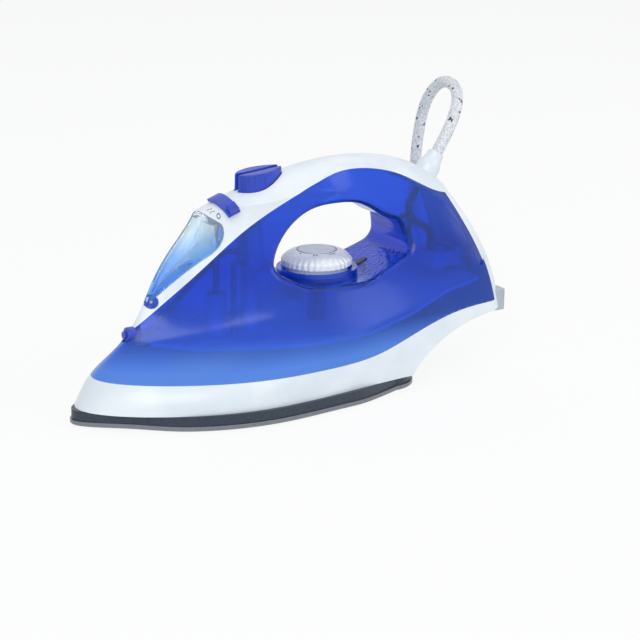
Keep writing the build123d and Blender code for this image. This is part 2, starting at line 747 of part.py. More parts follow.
# Fill lid with its barrel and finger grips, the hinge pin, and the funnel tray that carries the pin
with BuildPart() as barrel:
    add(body_form(lid_barrel_sink))
    with Locations(hinge):
        Cylinder(lid_barrel, across, mode=Mode.INTERSECT)
with BuildPart() as lid_grips:
    add(body_form(-lid_grip_rise))
    with BuildSketch(side_sketch()):
        with Locations(lid_grip_place):
            SlotOverall(lid_grip_length, lid_grip_width, rotation=lid_grip_lean)
    extrude(amount=across, mode=Mode.INTERSECT)
    add(hollow_form, mode=Mode.SUBTRACT)
with BuildPart() as fill_lid:
    add(shell)
    with BuildSketch(side_sketch()):
        add(lid_zone(clearance))
    extrude(amount=across, mode=Mode.INTERSECT)
    add(barrel.part)
    add(lid_grips.part)
    with Locations(hinge):
        Cylinder(lid_ear_radius + clearance, lid_ear_width + 2 * clearance, mode=Mode.SUBTRACT)
        Cylinder(lid_pin_diameter / 2 + running_fit, lid_pin_length + 1, mode=Mode.SUBTRACT)
    with BuildSketch(Plane.XZ):
        with BuildLine():
            Polyline((lid_hinge_x - 2, lid_hinge_z - 2), (lid_hinge_x - 2, lid_hinge_z - 8),
                     (lid_hinge_x + 8, lid_hinge_z - 8), (lid_hinge_x + 8, lid_hinge_z + 8.8),
                     (lid_hinge_x - 1.6, lid_hinge_z + 2.2), close=True)
        make_face()
    extrude(amount=lid_ear_width / 2 + clearance, both=True, mode=Mode.SUBTRACT)
save(fill_lid.part, "fill_lid")

with BuildPart() as lid_pin:
    with Locations(hinge):
        Cylinder(lid_pin_diameter / 2, lid_pin_length)
save(lid_pin.part, "lid_pin")

tray_line = ((-85.5, 70.8), (-70.5, 83), (-59.5, 90), (-51.4, 95.6), (-51.4, 111))
inlet_x = -66.0
inlet_z = 86.0
with BuildPart() as funnel:
    add(inside_form)
    with BuildSketch(side_sketch()):
        with BuildLine():
            FilletPolyline(*tray_line, radius=[30, 30, 6])
        trace(line_width=funnel_thickness)
    extrude(amount=across, mode=Mode.INTERSECT)
    with Locations((inlet_x, 0, inlet_z)):
        Cylinder(funnel_inlet / 2 + funnel_thickness, 10, align=HANG)
    with Locations((inlet_x, 0, inlet_z + 6)):
        Cylinder(funnel_inlet / 2, 20, align=HANG, mode=Mode.SUBTRACT)
    with BuildSketch(Plane.XZ):
        with BuildLine():
            Line((lid_hinge_x, lid_hinge_z), (lid_hinge_x + 8, lid_hinge_z + 5.5))
        trace(line_width=2 * lid_ear_radius)
        with Locations((lid_hinge_x, lid_hinge_z)):
            Circle(lid_ear_radius)
    extrude(amount=lid_ear_width / 2, both=True)
    with Locations(hinge):
        Cylinder(lid_pin_diameter / 2, lid_pin_length, mode=Mode.SUBTRACT)
save(funnel.part, "fill_funnel")

# Spray nozzle in the nose
with BuildPart() as nozzle:
    with Locations(Location((nozzle_x + 5, 0, nozzle_z), (0, -90, 0))):
        Cylinder(nozzle_radius - running_fit, nozzle_length, align=STAND)
    fillet(nozzle.edges().sort_by(Axis.X)[0], 1.4)
    with Locations(Location((nozzle_x + 5, 0, nozzle_z), (0, -90, 0))):
        Cylinder(nozzle_radius / 2, nozzle_length + 1.6, align=STAND)
        Cylinder(0.6, nozzle_length + 1.6, align=STAND, mode=Mode.SUBTRACT)
save(nozzle.part, "spray_nozzle")

# Temperature dial, its marked disc and its shaft
dial_axis = Axis((dial_x, 0, 0), (0, 0, 1))
with BuildPart() as dial:
    with BuildSketch(Plane.XZ):
        with BuildLine():
            rim = dial_x + dial_diameter / 2
            neck = dial_x + dial_skirt_diameter / 2
            crest = dial_x + dial_disc_diameter / 2 + 1.2
            Polyline((crest, dial_top), (dial_x, dial_top), (dial_x, dial_underside), (neck, dial_underside),
                     (neck, dial_rim_bottom), (rim, dial_rim_bottom), (rim, dial_rim_top))
            ThreePointArc((rim, dial_rim_top), (rim - 3.4, dial_top - 2.2), (crest, dial_top))
        make_face()
    revolve(axis=dial_axis)
    with BuildSketch(Plane.XY.offset(dial_rim_bottom)):
        with Locations((dial_x, 0)):
            with PolarLocations(dial_diameter / 2 + flute_radius / 2, dial_flutes):
                RegularPolygon(flute_radius, 3)
    extrude(amount=dial_rim_top - dial_rim_bottom, mode=Mode.SUBTRACT)
    with Locations((dial_x, 0, dial_top)):
        Cylinder(dial_disc_diameter / 2, dial_disc_thickness - 0.4, align=HANG, mode=Mode.SUBTRACT)
    with Locations((dial_x, 0, dial_underside)):
        Cylinder(shaft_radius, dial_rim_top - dial_underside, align=STAND, mode=Mode.SUBTRACT)
save(dial.part, "temperature_dial")

with BuildPart() as disc:
    with Locations((dial_x, 0, dial_top - dial_disc_thickness + 0.4)):
        Cylinder(dial_disc_diameter / 2, dial_disc_thickness, align=STAND)
    fillet(disc.edges().sort_by(Axis.Z)[-1], 0.3)
save(disc.part, "dial_disc")

with BuildPart() as shaft:
    with Locations((dial_x, 0, base_top + 1)):
        Cylinder(shaft_radius, dial_rim_top - base_top - 1, align=STAND)
save(shaft.part, "dial_shaft")

# Pilot lamp under its lens in the rear slope of the deck
with BuildPart() as lens:
    with BuildSketch(lamp_plane.offset(-wall)):
        SlotOverall(lamp_length - 2 * running_fit, lamp_width - 2 * running_fit)
    extrude(amount=wall + lens_rise)
    fillet(lens.faces().sort_by(Axis.Z)[-1].edges(), 0.5)
save(lens.part, "lamp_lens")

lamp_radius = 2.0
lamp_depth = 9.0
with BuildPart() as lamp:
    with BuildSketch(lamp_plane.offset(-wall)):
        Circle(lamp_radius)
    extrude(amount=-lamp_depth)
    fillet(lamp.edges().group_by(Axis.Z)[0], 0.8)
save(lamp.part, "pilot_lamp")

# Mains terminals on the skirt's post, with their screws and the wires up to the cord
terminal_size = (24, 22, 10)
wire_diameter = 4.5
with BuildPart() as terminal_block:
    with Locations((terminal_x, 0, terminal_z)):
        Box(*terminal_size, align=STAND)
    fillet(terminal_block.edges().filter_by(Axis.Z), 2)
save(terminal_block.part, "terminal_block")

terminal_top = terminal_z + terminal_size[2]
with BuildPart() as terminal_screws:
    with Locations(*[(terminal_x + 5, y, terminal_top) for y in (-7, 0, 7)]):
        Cylinder(2.4, 1.2, align=STAND)
    with Locations(*[(terminal_x + 5, y, terminal_top + 1.2) for y in (-7, 0, 7)]):
        Box(5, 0.8, 0.6, align=HANG, mode=Mode.SUBTRACT)
save(terminal_screws.part, "terminal_screws")

with BuildPart() as guard:
    with BuildSketch(Plane.XZ):
        with BuildLine():
            body = guard_base_radius - running_fit
            Polyline((0, 0), (body, 0), (body, guard_inside + 2))
            Spline((body, guard_inside + 2), (guard_tip_radius + 0.7, guard_inside + guard_outside - 5),
                   (guard_tip_radius, guard_inside + guard_outside), tangents=[(0, 1), (-0.05, 1)])
            guard_end = guard_inside + guard_outside
            Polyline((guard_tip_radius, guard_end), (0, guard_end), (0, 0))
        make_face()
    revolve(axis=Axis.Z)
guard_part = guard_plane.location * guard.part
save(guard_part, "cord_guard")


def bend_radii(points):
    """Largest even bend at each corner of a run of straights."""
    radii = []
    for before, corner, after in zip(points, points[1:], points[2:]):
        run_in = Vector(*corner) - Vector(*before)
        run_out = Vector(*after) - Vector(*corner)
        half_turn = math.radians(run_in.get_angle(run_out)) / 2
        radii.append(0.45 * min(run_in.length, run_out.length) / math.tan(half_turn))
    return radii


def tube(points, diameter):
    """Round tube through straights and tangent bends."""
    with BuildPart() as pipe:
        with BuildLine() as route:
            FilletPolyline(*points, radius=bend_radii(points))
        run = route.wire()
        with BuildSketch(Plane(origin=run @ 0, z_dir=run % 0)):
            Circle(diameter / 2)
        sweep(path=run)
    return pipe.part


def along(point, direction, distance):
    """Point a distance along a direction, as a tuple."""
    return tuple(point + direction * distance)


wire_start = along(exit_point, exit_direction, -guard_inside)
wire_points = [wire_start, along(exit_point, exit_direction, -guard_inside - 14), (92, 0, 97),
               (terminal_x - 6, 0, terminal_top + 13), (terminal_x - 6, 0, terminal_top)]
save(tube(wire_points, wire_diameter), "lead_wires")

spray_tube_diameter = 3.6
pump_side = pump_x - pump_radius + 0.6
spray_points = [(pump_side, pump_spread, 90), (pump_side - 10, pump_spread, 90), (pump_side - 26, 9, 76),
                (-80, 3, 56), (-89, 0, nozzle_z), (nozzle_x + 5, 0, nozzle_z)]
steam_points = [(pump_side, -pump_spread, 88), (pump_side - 9, -pump_spread, 88),
                (pump_side - 9, -pump_spread, sleeve_bottom)]
for name, points in (("spray_tube", spray_points), ("steam_tube", steam_points)):
    with BuildPart() as hose:
        add(tube(points, spray_tube_diameter))
        add(pump_block.part, mode=Mode.SUBTRACT)
    save(hose.part, name)

# Mains cord from the guard, down behind the heel to a loose two-layer coil, and on to the plug
coil_low = cord_floor
coil_entry_y = coil_centre_y - coil_outer_radius
tail_points = [along(exit_point, exit_direction, guard_outside),
               along(exit_point, exit_direction, guard_outside + 22), (136, 16, 173), (141, 43, 176),
               (142, 66, 158), (140.5, 72.5, 126), (140.5, 73.8, 97), (142, 75.5, 69), (143.5, 78, 45),
               (140.5, 80.6, 24), (129.5, 82, 11), (113.5, 82, coil_low),
               (coil_centre_x, coil_entry_y, coil_low)]
save(tube(tail_points, cord_diameter), "cord_tail")

with BuildPart() as coil:
    with BuildLine() as coil_line:
        here = Vector(coil_centre_x, coil_entry_y, coil_low)
        side = 1
        radius = coil_outer_radius
        for turn in range(coil_half_turns):
            there = here + Vector(0, 2 * side * radius)
            ThreePointArc(here, (here + there) * 0.5 - Vector(side * radius, 0), there)
            here = there
            side = -side
            radius -= coil_pitch / 2
        climb = Vector(0, 2 * side * radius, coil_pitch)
        crest = here + climb * 0.5 - Vector(side * climb.length / 2, 0)
        rising = TangentArc(here, crest, tangent=(-side, 0, 0))
        TangentArc(crest, here + climb, tangent=rising % 1)
        here = here + climb
        side = -side
        radius += coil_pitch / 2
        for turn in range(coil_half_turns - 1):
            there = here + Vector(0, 2 * side * radius)
            ThreePointArc(here, (here + there) * 0.5 - Vector(side * radius, 0), there)
            here = there
            side = -side
            radius += coil_pitch / 2
    coil_run = coil_line.wire()
    with BuildSketch(Plane(origin=coil_run @ 0, z_dir=coil_run % 0)):
        Circle(cord_radius)
    sweep(path=coil_run)
save(coil.part, "cord_coil")

# Strap round all the turns on the far side of the coil
far_turn = coil_centre_y + coil_outer_radius
turns_across = 2 * coil_pitch + cord_diameter
with BuildPart() as tie:
    strap_middle = (far_turn + cord_radius - turns_across / 2, coil_low + coil_pitch / 2)
    with BuildSketch(Plane.YZ.offset(coil_centre_x)):
        with Locations(strap_middle):
            for grown, mode in ((tie_thickness, Mode.ADD), (0, Mode.SUBTRACT)):
                grown += clearance
                RectangleRounded(turns_across + 2 * grown, coil_pitch + cord_diameter + 2 * grown,
                                 cord_radius + grown, mode=mode)
    extrude(amount=tie_width / 2, both=True)
save(tie.part, "cord_tie")

plug_tilt = math.atan2(plug_diameter - plug_back_diameter, 2 * plug_length)
plug_direction = Vector(-math.cos(plug_tilt), 0, math.sin(plug_tilt))
plug_back_z = plug_back_diameter / 2 * math.cos(plug_tilt) + 0.1
lead_end = Vector(coil_centre_x - 76, here.Y, plug_back_z - plug_guard_length * math.sin(plug_tilt))
lead_points = [tuple(here), tuple(here - Vector(34, 0, 0)), along(lead_end, plug_direction, -19),
               tuple(lead_end)]
save(tube(lead_points, cord_diameter), "cord_lead")

# Two-pin plug lying on its side, with its guard moulded on
plug_plane = Plane(origin=lead_end, x_dir=(0, 1, 0), z_dir=plug_direction)
plug_end = plug_guard_length + plug_length
with BuildPart() as plug:
    with BuildSketch(Plane.XZ):
        with BuildLine():
            Polyline((0, 0), (plug_guard_tip / 2, 0), (plug_guard_tip / 2 + 1.2, plug_guard_length),
                     (plug_back_diameter / 2, plug_guard_length), (plug_diameter / 2, plug_end),
                     (0, plug_end), (0, 0))
        make_face()
    revolve(axis=Axis.Z)
    chamfer(plug.edges().sort_by(Axis.Z)[-1], 0.8)
save(plug_plane.location * plug.part, "plug_body")

with BuildPart() as pins:
    with Locations((0, plug_pin_spacing / 2, plug_end), (0, -plug_pin_spacing / 2, plug_end)):
        Cylinder(plug_pin_diameter / 2, plug_pin_length, align=STAND)
    fillet(pins.edges().group_by(Axis.Z)[-1], 1.6)
plug_turn = Plane(origin=lead_end, x_dir=(0, 1, 0), z_dir=plug_direction)
save(plug_turn.location * pins.part, "plug_pins")

# Bends and gaps of the cord, for the report
print("tail bends", [round(r) for r in bend_radii(tail_points)])
print("lead bends", [round(r) for r in bend_radii(lead_points)])
samples = [coil_run @ (i / 480) for i in range(481)]
step = coil_run.length / 480
apart = int(3 * cord_diameter / step) + 1
pairs = [(samples[i] - samples[j]).length for i in range(481) for j in range(i + apart, 481)]
print("coil length", round(coil_run.length), "gap between turns", round(min(pairs) - cord_diameter, 2))
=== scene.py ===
"""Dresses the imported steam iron: finishes, printed marks, the braided cord, light and camera."""

import json
import logging
import math
from dataclasses import dataclass, field
from enum import Enum
from typing import Any

import bmesh
import bpy
from mathutils import Matrix, Vector
from mathutils.bvhtree import BVHTree

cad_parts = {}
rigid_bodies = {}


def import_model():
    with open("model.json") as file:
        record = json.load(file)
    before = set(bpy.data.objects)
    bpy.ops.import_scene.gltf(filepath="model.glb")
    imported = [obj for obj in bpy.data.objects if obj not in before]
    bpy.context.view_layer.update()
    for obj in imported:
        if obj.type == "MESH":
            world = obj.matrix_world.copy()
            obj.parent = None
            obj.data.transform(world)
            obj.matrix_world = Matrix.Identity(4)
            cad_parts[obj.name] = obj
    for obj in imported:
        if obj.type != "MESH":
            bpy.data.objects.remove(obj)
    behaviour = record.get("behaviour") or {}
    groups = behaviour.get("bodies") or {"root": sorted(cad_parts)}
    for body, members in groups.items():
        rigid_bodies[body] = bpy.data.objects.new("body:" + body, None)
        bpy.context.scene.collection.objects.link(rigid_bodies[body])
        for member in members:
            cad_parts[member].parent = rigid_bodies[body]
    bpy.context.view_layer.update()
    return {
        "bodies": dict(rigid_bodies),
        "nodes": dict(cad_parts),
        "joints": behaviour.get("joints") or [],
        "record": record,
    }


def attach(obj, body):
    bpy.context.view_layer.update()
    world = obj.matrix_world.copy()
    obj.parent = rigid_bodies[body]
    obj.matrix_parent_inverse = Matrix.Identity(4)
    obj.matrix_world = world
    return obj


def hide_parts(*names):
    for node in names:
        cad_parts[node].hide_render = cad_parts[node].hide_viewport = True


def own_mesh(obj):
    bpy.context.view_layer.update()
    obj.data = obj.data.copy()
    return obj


LOG = logging.getLogger("steam_iron")
MM = 0.001
METRE_MM = 1000.0
# Octaves of a soft, an even and a fine noise
SOFT, EVEN, FINE = 2.0, 3.0, 4.0
# A colour Mix node's sockets go by number, because each of its data types repeats their names
MIX_SHARE, MIX_UNDER, MIX_OVER, MIX_RESULT = 0, 6, 7, 2

Span = tuple[float, float]
Point = tuple[float, float, float]
Shape = bmesh.types.BMesh
Tree = bpy.types.NodeTree
Socket = bpy.types.NodeSocket
Settings = dict[str | int, Any]
Links = dict[str | int, Socket]
Surface = tuple[Settings, Links]


class Body(Enum):
    """Rigid groups of the iron that a new piece can ride on."""

    IRON = "iron"
    DIAL = "dial"
    STEAM = "steam_pusher"
    SPRAY = "spray_pusher"
    SLIDER = "slider"
    LID = "lid"


def linear(code: str) -> tuple[float, float, float, float]:
    """Turn an sRGB hex colour into linear light.

    Args:
        code: Six hex digits, such as "1e3cb4".

    Returns:
        Red, green, blue and a full alpha in linear light.
    """
    channels = [int(code[i:i + 2], 16) / 255 for i in (0, 2, 4)]
    light = [c / 12.92 if c <= 0.04045 else ((c + 0.055) / 1.055) ** 2.4 for c in channels]
    return (light[0], light[1], light[2], 1.0)


def metres(span_mm: Span) -> Span:
    """Two measures in metres."""
    return (span_mm[0] * MM, span_mm[1] * MM)


def add_node(tree: Tree, kind: str, settings: Settings | None = None,
             links: Links | None = None) -> bpy.types.Node:
    """Add one shader node with its settings and incoming links.

    Args:
        tree: Node tree that gets the node.
        kind: Type name after "ShaderNode".
        settings: Values by property, input name or input number; "stops" fills a colour ramp,
            and "From" and "To" set both ends of a range.
        links: Output sockets by the name or number of the input that they feed.

    Returns:
        The new node.
    """
    node = tree.nodes.new("ShaderNode" + kind)
    for name, value in (settings or {}).items():
        if name == "stops":
            while len(node.color_ramp.elements) < len(value):
                node.color_ramp.elements.new(0.5)
            for stop, (place, code) in zip(node.color_ramp.elements, value):
                stop.position = place
                stop.color = linear(code)
        elif name in ("From", "To"):
            for end, limit in zip((" Min", " Max"), value):
                node.inputs[name + end].default_value = limit
        elif isinstance(name, str) and name not in node.inputs:
            setattr(node, name, value)
        else:
            node.inputs[name].default_value = value
    for name, socket in (links or {}).items():
        tree.links.new(socket, node.inputs[name])
    return node


def emptied(owner: bpy.types.Material | bpy.types.World) -> Tree:
    """Give a material or a world an empty node tree.

    Args:
        owner: Material or world.

    Returns:
        Its node tree.
    """
    owner.use_nodes = True
    owner.node_tree.nodes.clear()
    return owner.node_tree


def mottled(tree: Tree, place: Socket, size_mm: float, octaves: float, band: Span,
            tones: tuple[str, str]) -> tuple[Socket, Socket]:
    """Let a noise wander between two colours.

    Args:
        tree: Material's node tree.
        place: Coordinates in metres.
        size_mm: Size of the noise in millimetres.
        octaves: Octaves of the noise.
        band: Noise values that have the first and the second colour.
        tones: The two colours as hex digits.

    Returns:
        The noise's value, and the colour.
    """
    noise = add_node(tree, "TexNoise", {"Scale": METRE_MM / size_mm, "Detail": octaves}, {"Vector": place})
    value = noise.outputs["Fac"]
    ramp = add_node(tree, "ValToRGB", {"stops": tuple(zip(band, tones))}, {"Fac": value})
    return value, ramp.outputs["Color"]


def grained(tree: Tree, value: Socket, roughness: Span, relief: Span) -> Links:
    """Let one pattern set both the gloss and the relief of a surface.

    Args:
        tree: Material's node tree.
        value: Pattern's value, from 0 to 1.
        roughness: Roughness at 0 and at 1.
        relief: Strength, and depth in millimetres.

    Returns:
        Sockets by the input of the principled shader that they feed.
    """
    rough = add_node(tree, "MapRange", {"To": roughness}, {"Value": value})
    bump = add_node(tree, "Bump", {"Strength": relief[0], "Distance": relief[1] * MM}, {"Height": value})
    return {"Roughness": rough.outputs[0], "Normal": bump.outputs[0]}


def add_object(name: str, data: bpy.types.ID) -> bpy.types.Object:
    """Add an object to the scene.

    Args:
        name: Object's name.
        data: Its mesh, curve, lamp or camera.

    Returns:
        The object, at the origin.
    """
    added = bpy.data.objects.new(name, data)
    bpy.context.scene.collection.objects.link(added)
    return added


def aimed(place: Vector, target: Vector) -> Matrix:
    """Aim a camera or a lamp.

    Args:
        place: Where it stands.
        target: What it looks at.

    Returns:
        Its place and turn.
    """
    turn = (target - place).to_track_quat("-Z", "Y").to_matrix().to_4x4()
    return Matrix.Translation(place) @ turn


@dataclass(frozen=True)
class Finish:
    """What every finish has: its name, its record slot and the two ends of its node tree."""

    name: str
    slot: str

    def material(self) -> bpy.types.Material:
        """Build the material.

        Returns:
            The finished material.
        """
        material = bpy.data.materials.new(self.name)
        tree = emptied(material)
        place = add_node(tree, "TexCoord").outputs["Object"]
        shader = add_node(tree, "BsdfPrincipled", *self.surface(tree, place))
        add_node(tree, "OutputMaterial", links={"Surface": shader.outputs[0]})
        return material

    def surface(self, tree: Tree, place: Socket) -> Surface:
        """Add the patterns; each finish does this in its own way.

        Args:
            tree: Material's node tree.
            place: Object coordinates in metres.

        Returns:
            Values and links of the shader.
        """
        raise NotImplementedError


@dataclass(frozen=True)
class MouldedPlastic(Finish):
    """Moulded or extruded plastic: faint flow clouds, a grain and edges rubbed light, half glossy."""

    light: str = "e9eff3"
    shade: str = "dde6ec"
    roughness: float = 0.34
    rub: str = "5a5f66"
    cloud_mm: float = 28.0
    cloud_band: Span = (0.35, 0.65)
    edge_band: Span = (0.52, 0.6)
    edge_share: float = 0.3
    # Coarser than the grain of a spark-eroded mould, so that it shows
    grain_mm: float = 1.2
    spread: Span = (-0.06, 0.08)
    relief: Span = (1.0, 0.012)
    ior: float = 1.53
    coat: float = 0.12
    coat_roughness: float = 0.15

    def surface(self, tree: Tree, place: Socket) -> Surface:
        """Add clouds of colour, rubbed edges and a fine grain.

        Args:
            tree: Material's node tree.
            place: Object coordinates in metres.

        Returns:
            Values and links of the shader.
        """
        _, tone = mottled(tree, place, self.cloud_mm, SOFT, self.cloud_band, (self.shade, self.light))
        edge = add_node(tree, "NewGeometry").outputs["Pointiness"]
        rubbed = add_node(
            tree, "MapRange", {"From": self.edge_band, "To Max": self.edge_share}, {"Value": edge})
        colour = add_node(
            tree, "Mix", {"data_type": "RGBA", "blend_type": "SCREEN", MIX_OVER: linear(self.rub)},
            {MIX_SHARE: rubbed.outputs[0], MIX_UNDER: tone})
        grain = add_node(
            tree, "TexNoise", {"Scale": METRE_MM / self.grain_mm, "Detail": FINE}, {"Vector": place})
        rough = (self.roughness + self.spread[0], self.roughness + self.spread[1])
        return ({"IOR": self.ior, "Coat Weight": self.coat, "Coat Roughness": self.coat_roughness},
                {"Base Color": colour.outputs[MIX_RESULT],
                 **grained(tree, grain.outputs["Fac"], rough, self.relief)})


@dataclass(frozen=True)
class TankPlastic(Finish):
    """Blue moulded polycarbonate, see-through and misted, with painted light low and painted shade up high.
    """

    # Painted light: pale low down, where the white skirt lights the tank; painted shade: the deeper tones
    # higher up
    pale: str = "6ea0f4"
    middle: str = "629af8"
    deep: str = "4a8af6"
    painted_neck_shade: str = "3470e8"
    line: str = "2c50b8"
    stops: tuple[float, ...] = (0.0, 0.13, 0.28, 0.6, 0.95)
    height_mm: Span = (22.0, 124.0)
    frost_mm: Span = (31.0, 46.0)
    clear: Span = (0.35, 0.86)
    drift_mm: float = 42.0
    sway: float = 0.07
    deck_slope: Span = (0.55, 0.8)
    dial_mm: float = 23.5
    ring_step_mm: float = 11.0
    ring_line_mm: float = 0.9
    ring_reach_mm: float = 36.0
    ring_squeeze: float = 0.7
    mist_mm: float = 2.6
    mist_from_mm: Span = (28.0, 50.0)
    dome: Span = (0.12, 0.45)
    relief: Span = (0.6, 0.3)
    roughness: Span = (0.08, 0.2)
    ior: float = 1.4
    gloss: float = 0.2

    def rings(self, tree: Tree, place: Socket, upward: Socket) -> Socket:
        """Draw the moulded steps of the deck round the dial, as thin ovals on what faces up.

        Args:
            tree: Material's node tree.
            place: Object coordinates in metres.
            upward: 1 on what faces up, 0 on what is steep.

        Returns:
            1 on a line, 0 beside it.
        """
        middle = add_node(tree, "Mapping",
                          {"Location": (-self.dial_mm * MM * self.ring_squeeze, 0, 0),
                           "Scale": (self.ring_squeeze, 1, 0)}, {"Vector": place})
        reach = add_node(tree, "VectorMath", {"operation": "LENGTH"}, {0: middle.outputs[0]})
        wrapped = add_node(
            tree, "Math", {"operation": "MODULO", 1: self.ring_step_mm * MM}, {0: reach.outputs["Value"]})
        line = add_node(
            tree, "Math", {"operation": "LESS_THAN", 1: self.ring_line_mm * MM}, {0: wrapped.outputs[0]})
        inside = add_node(tree, "Math", {"operation": "LESS_THAN", 1: self.ring_reach_mm * MM},
                          {0: reach.outputs["Value"]})
        deck = add_node(tree, "Math", {"operation": "MULTIPLY"}, {0: inside.outputs[0], 1: upward})
        drawn = add_node(tree, "Math", {"operation": "MULTIPLY"}, {0: line.outputs[0], 1: deck.outputs[0]})
        return drawn.outputs[0]

    def droplets(self, tree: Tree, place: Socket, along: Socket, upward: Socket) -> Socket:
        """Raise droplets on the rear half of the deck, as small smooth domes.

        Args:
            tree: Material's node tree.
            place: Object coordinates in metres.
            along: Their X.
            upward: 1 on what faces up, 0 on what is steep.

        Returns:
            Height of the droplets from 0 to 1.
        """
        cells = add_node(
            tree, "TexVoronoi", {"Scale": METRE_MM / self.mist_mm, "feature": "SMOOTH_F1"},
            {"Vector": place})
        dome = add_node(
            tree, "MapRange", {"From": self.dome, "To": (1.0, 0.0)}, {"Value": cells.outputs["Distance"]})
        rear = add_node(tree, "MapRange", {"From": metres(self.mist_from_mm)}, {"Value": along})
        patch = add_node(tree, "Math", {"operation": "MULTIPLY"}, {0: rear.outputs[0], 1: upward})
        mist = add_node(tree, "Math", {"operation": "MULTIPLY"}, {0: dome.outputs[0], 1: patch.outputs[0]})
        return mist.outputs[0]

    def surface(self, tree: Tree, place: Socket) -> Surface:
        """Add painted light low by the skirt and painted shade up high, the deck's contour lines, droplets
        and frost near the skirt.

        Args:
            tree: Material's node tree.
            place: Object coordinates in metres.

        Returns:
            Values and links of the shader.
        """
        axes = add_node(tree, "SeparateXYZ", links={0: place})
        share = add_node(tree, "MapRange", {"From": metres(self.height_mm)}, {"Value": axes.outputs["Z"]})
        drift = add_node(
            tree, "TexNoise", {"Scale": METRE_MM / self.drift_mm, "Detail": SOFT}, {"Vector": place})
        sway = add_node(tree, "MapRange", {"To": (-self.sway, self.sway)}, {"Value": drift.outputs["Fac"]})
        level = add_node(tree, "Math", {"operation": "ADD"}, {0: share.outputs[0], 1: sway.outputs[0]})
        # Painted light and shade by height: pale by the skirt, deepest part way up
        tones = (self.pale, self.middle, self.deep, self.painted_neck_shade, self.deep)
        tone = add_node(
            tree, "ValToRGB", {"stops": tuple(zip(self.stops, tones))}, {"Fac": level.outputs[0]})
        normal = add_node(tree, "NewGeometry").outputs["Normal"]
        facing = add_node(tree, "SeparateXYZ", links={0: normal})
        upward = add_node(
            tree, "MapRange", {"From": self.deck_slope}, {"Value": facing.outputs["Z"]}).outputs[0]
        colour = add_node(tree, "Mix", {"data_type": "RGBA", MIX_OVER: linear(self.line)},
                          {MIX_SHARE: self.rings(tree, place, upward), MIX_UNDER: tone.outputs["Color"]})
        mist = self.droplets(tree, place, axes.outputs["X"], upward)
        bump = add_node(
            tree, "Bump", {"Strength": self.relief[0], "Distance": self.relief[1] * MM}, {"Height": mist})
        rough = add_node(tree, "MapRange", {"To": self.roughness}, {"Value": drift.outputs["Fac"]})
        clear = add_node(tree, "MapRange", {"From": metres(self.frost_mm), "To": self.clear},
                         {"Value": axes.outputs["Z"]})
        return ({"IOR": self.ior, "Specular IOR Level": self.gloss},
                {"Base Color": colour.outputs[MIX_RESULT], "Normal": bump.outputs[0],
                 "Roughness": rough.outputs[0], "Transmission Weight": clear.outputs[0]})


@dataclass(frozen=True)
class ClearPlastic(Finish):
    """Tinted see-through polycarbonate: glossy, deeper low down, paler high up as a painted highlight, with
    painted shade at its sides and faint painted reflection streaks.
    """

    # The side colour is painted shade and the top colour a painted highlight
    edge: str = "4484ee"
    tint: str = "7ab4fa"
    middle: str = "b4dcff"
    top: str = "ecf9ff"
    stops: tuple[float, ...] = (0.1, 0.4, 0.7, 1.0)
    height_mm: Span = (66.0, 116.0)
    half_mm: float = 15.0
    side_from: float = 0.4
    painted_side_shade_share: float = 0.5
    flow_mm: float = 16.0
    painted_streak_share: float = 0.45
    roughness: float = 0.06
    haze: float = 0.06
    relief: Span = (0.4, 0.1)
    clear: float = 0.84
    ior: float = 1.35

    def surface(self, tree: Tree, place: Socket) -> Surface:
        """Add painted light by height, painted shade towards the sides, and faint painted reflection
        streaks from a flow noise that also sets the gloss and relief.

        Args:
            tree: Material's node tree.
            place: Object coordinates in metres.

        Returns:
            Values and links of the shader.
        """
        flow = add_node(tree, "TexNoise", {"Scale": METRE_MM / self.flow_mm, "Detail": SOFT},
                        {"Vector": place}).outputs["Fac"]
        axes = add_node(tree, "SeparateXYZ", links={0: place})
        share = add_node(tree, "MapRange", {"From": metres(self.height_mm)}, {"Value": axes.outputs["Z"]})
        # Painted highlight higher up, streaked with painted reflection from the flow noise
        mixed = add_node(
            tree, "Math", {"operation": "MULTIPLY_ADD", 1: self.painted_streak_share}, {0: flow, 2: share.outputs[0]})
        # Painted shade towards the sides
        side = add_node(tree, "Math", {"operation": "ABSOLUTE"}, {0: axes.outputs["Y"]})
        reach = metres((self.half_mm * self.side_from, self.half_mm))
        painted_side_shade = add_node(
            tree, "MapRange", {"From": reach, "To Max": -self.painted_side_shade_share}, {"Value": side.outputs[0]})
        level = add_node(tree, "Math", {"operation": "ADD"}, {0: mixed.outputs[0], 1: painted_side_shade.outputs[0]})
        tones = (self.edge, self.tint, self.middle, self.top)
        tone = add_node(
            tree, "ValToRGB", {"stops": tuple(zip(self.stops, tones))}, {"Fac": level.outputs[0]})
        rough = (self.roughness, self.roughness + self.haze)
        return ({"IOR": self.ior, "Transmission Weight": self.clear},
                {"Base Color": tone.outputs["Color"], **grained(tree, flow, rough, self.relief)})


@dataclass(frozen=True)
class WorkedMetal(Finish):
    """Ground or plated metal: fine lines from the belt that run one way over a bright base."""

    tint: str = "b9bcc0"
    shade: str = "9a9ea3"
    roughness: float = 0.28
    # Coarser than a belt's grit, so that the lines show
    line_mm: float = 0.6
    run: Point = (0.08, 1.0, 1.0)
    band: Span = (0.3, 0.7)
    spread: Span = (-0.07, 0.1)
    relief: Span = (0.6, 0.02)

    def surface(self, tree: Tree, place: Socket) -> Surface:
        """Add stretched grinding lines.

        Args:
            tree: Material's node tree.
            place: Object coordinates in metres.

        Returns:
            Values and links of the shader.
        """
        stretched = add_node(tree, "Mapping", {"Scale": self.run}, {"Vector": place})
        lines, tone = mottled(
            tree, stretched.outputs[0], self.line_mm, FINE, self.band, (self.shade, self.tint))
        rough = (self.roughness + self.spread[0], self.roughness + self.spread[1])
        return ({"Metallic": 1.0}, {"Base Color": tone, **grained(tree, lines, rough, self.relief)})


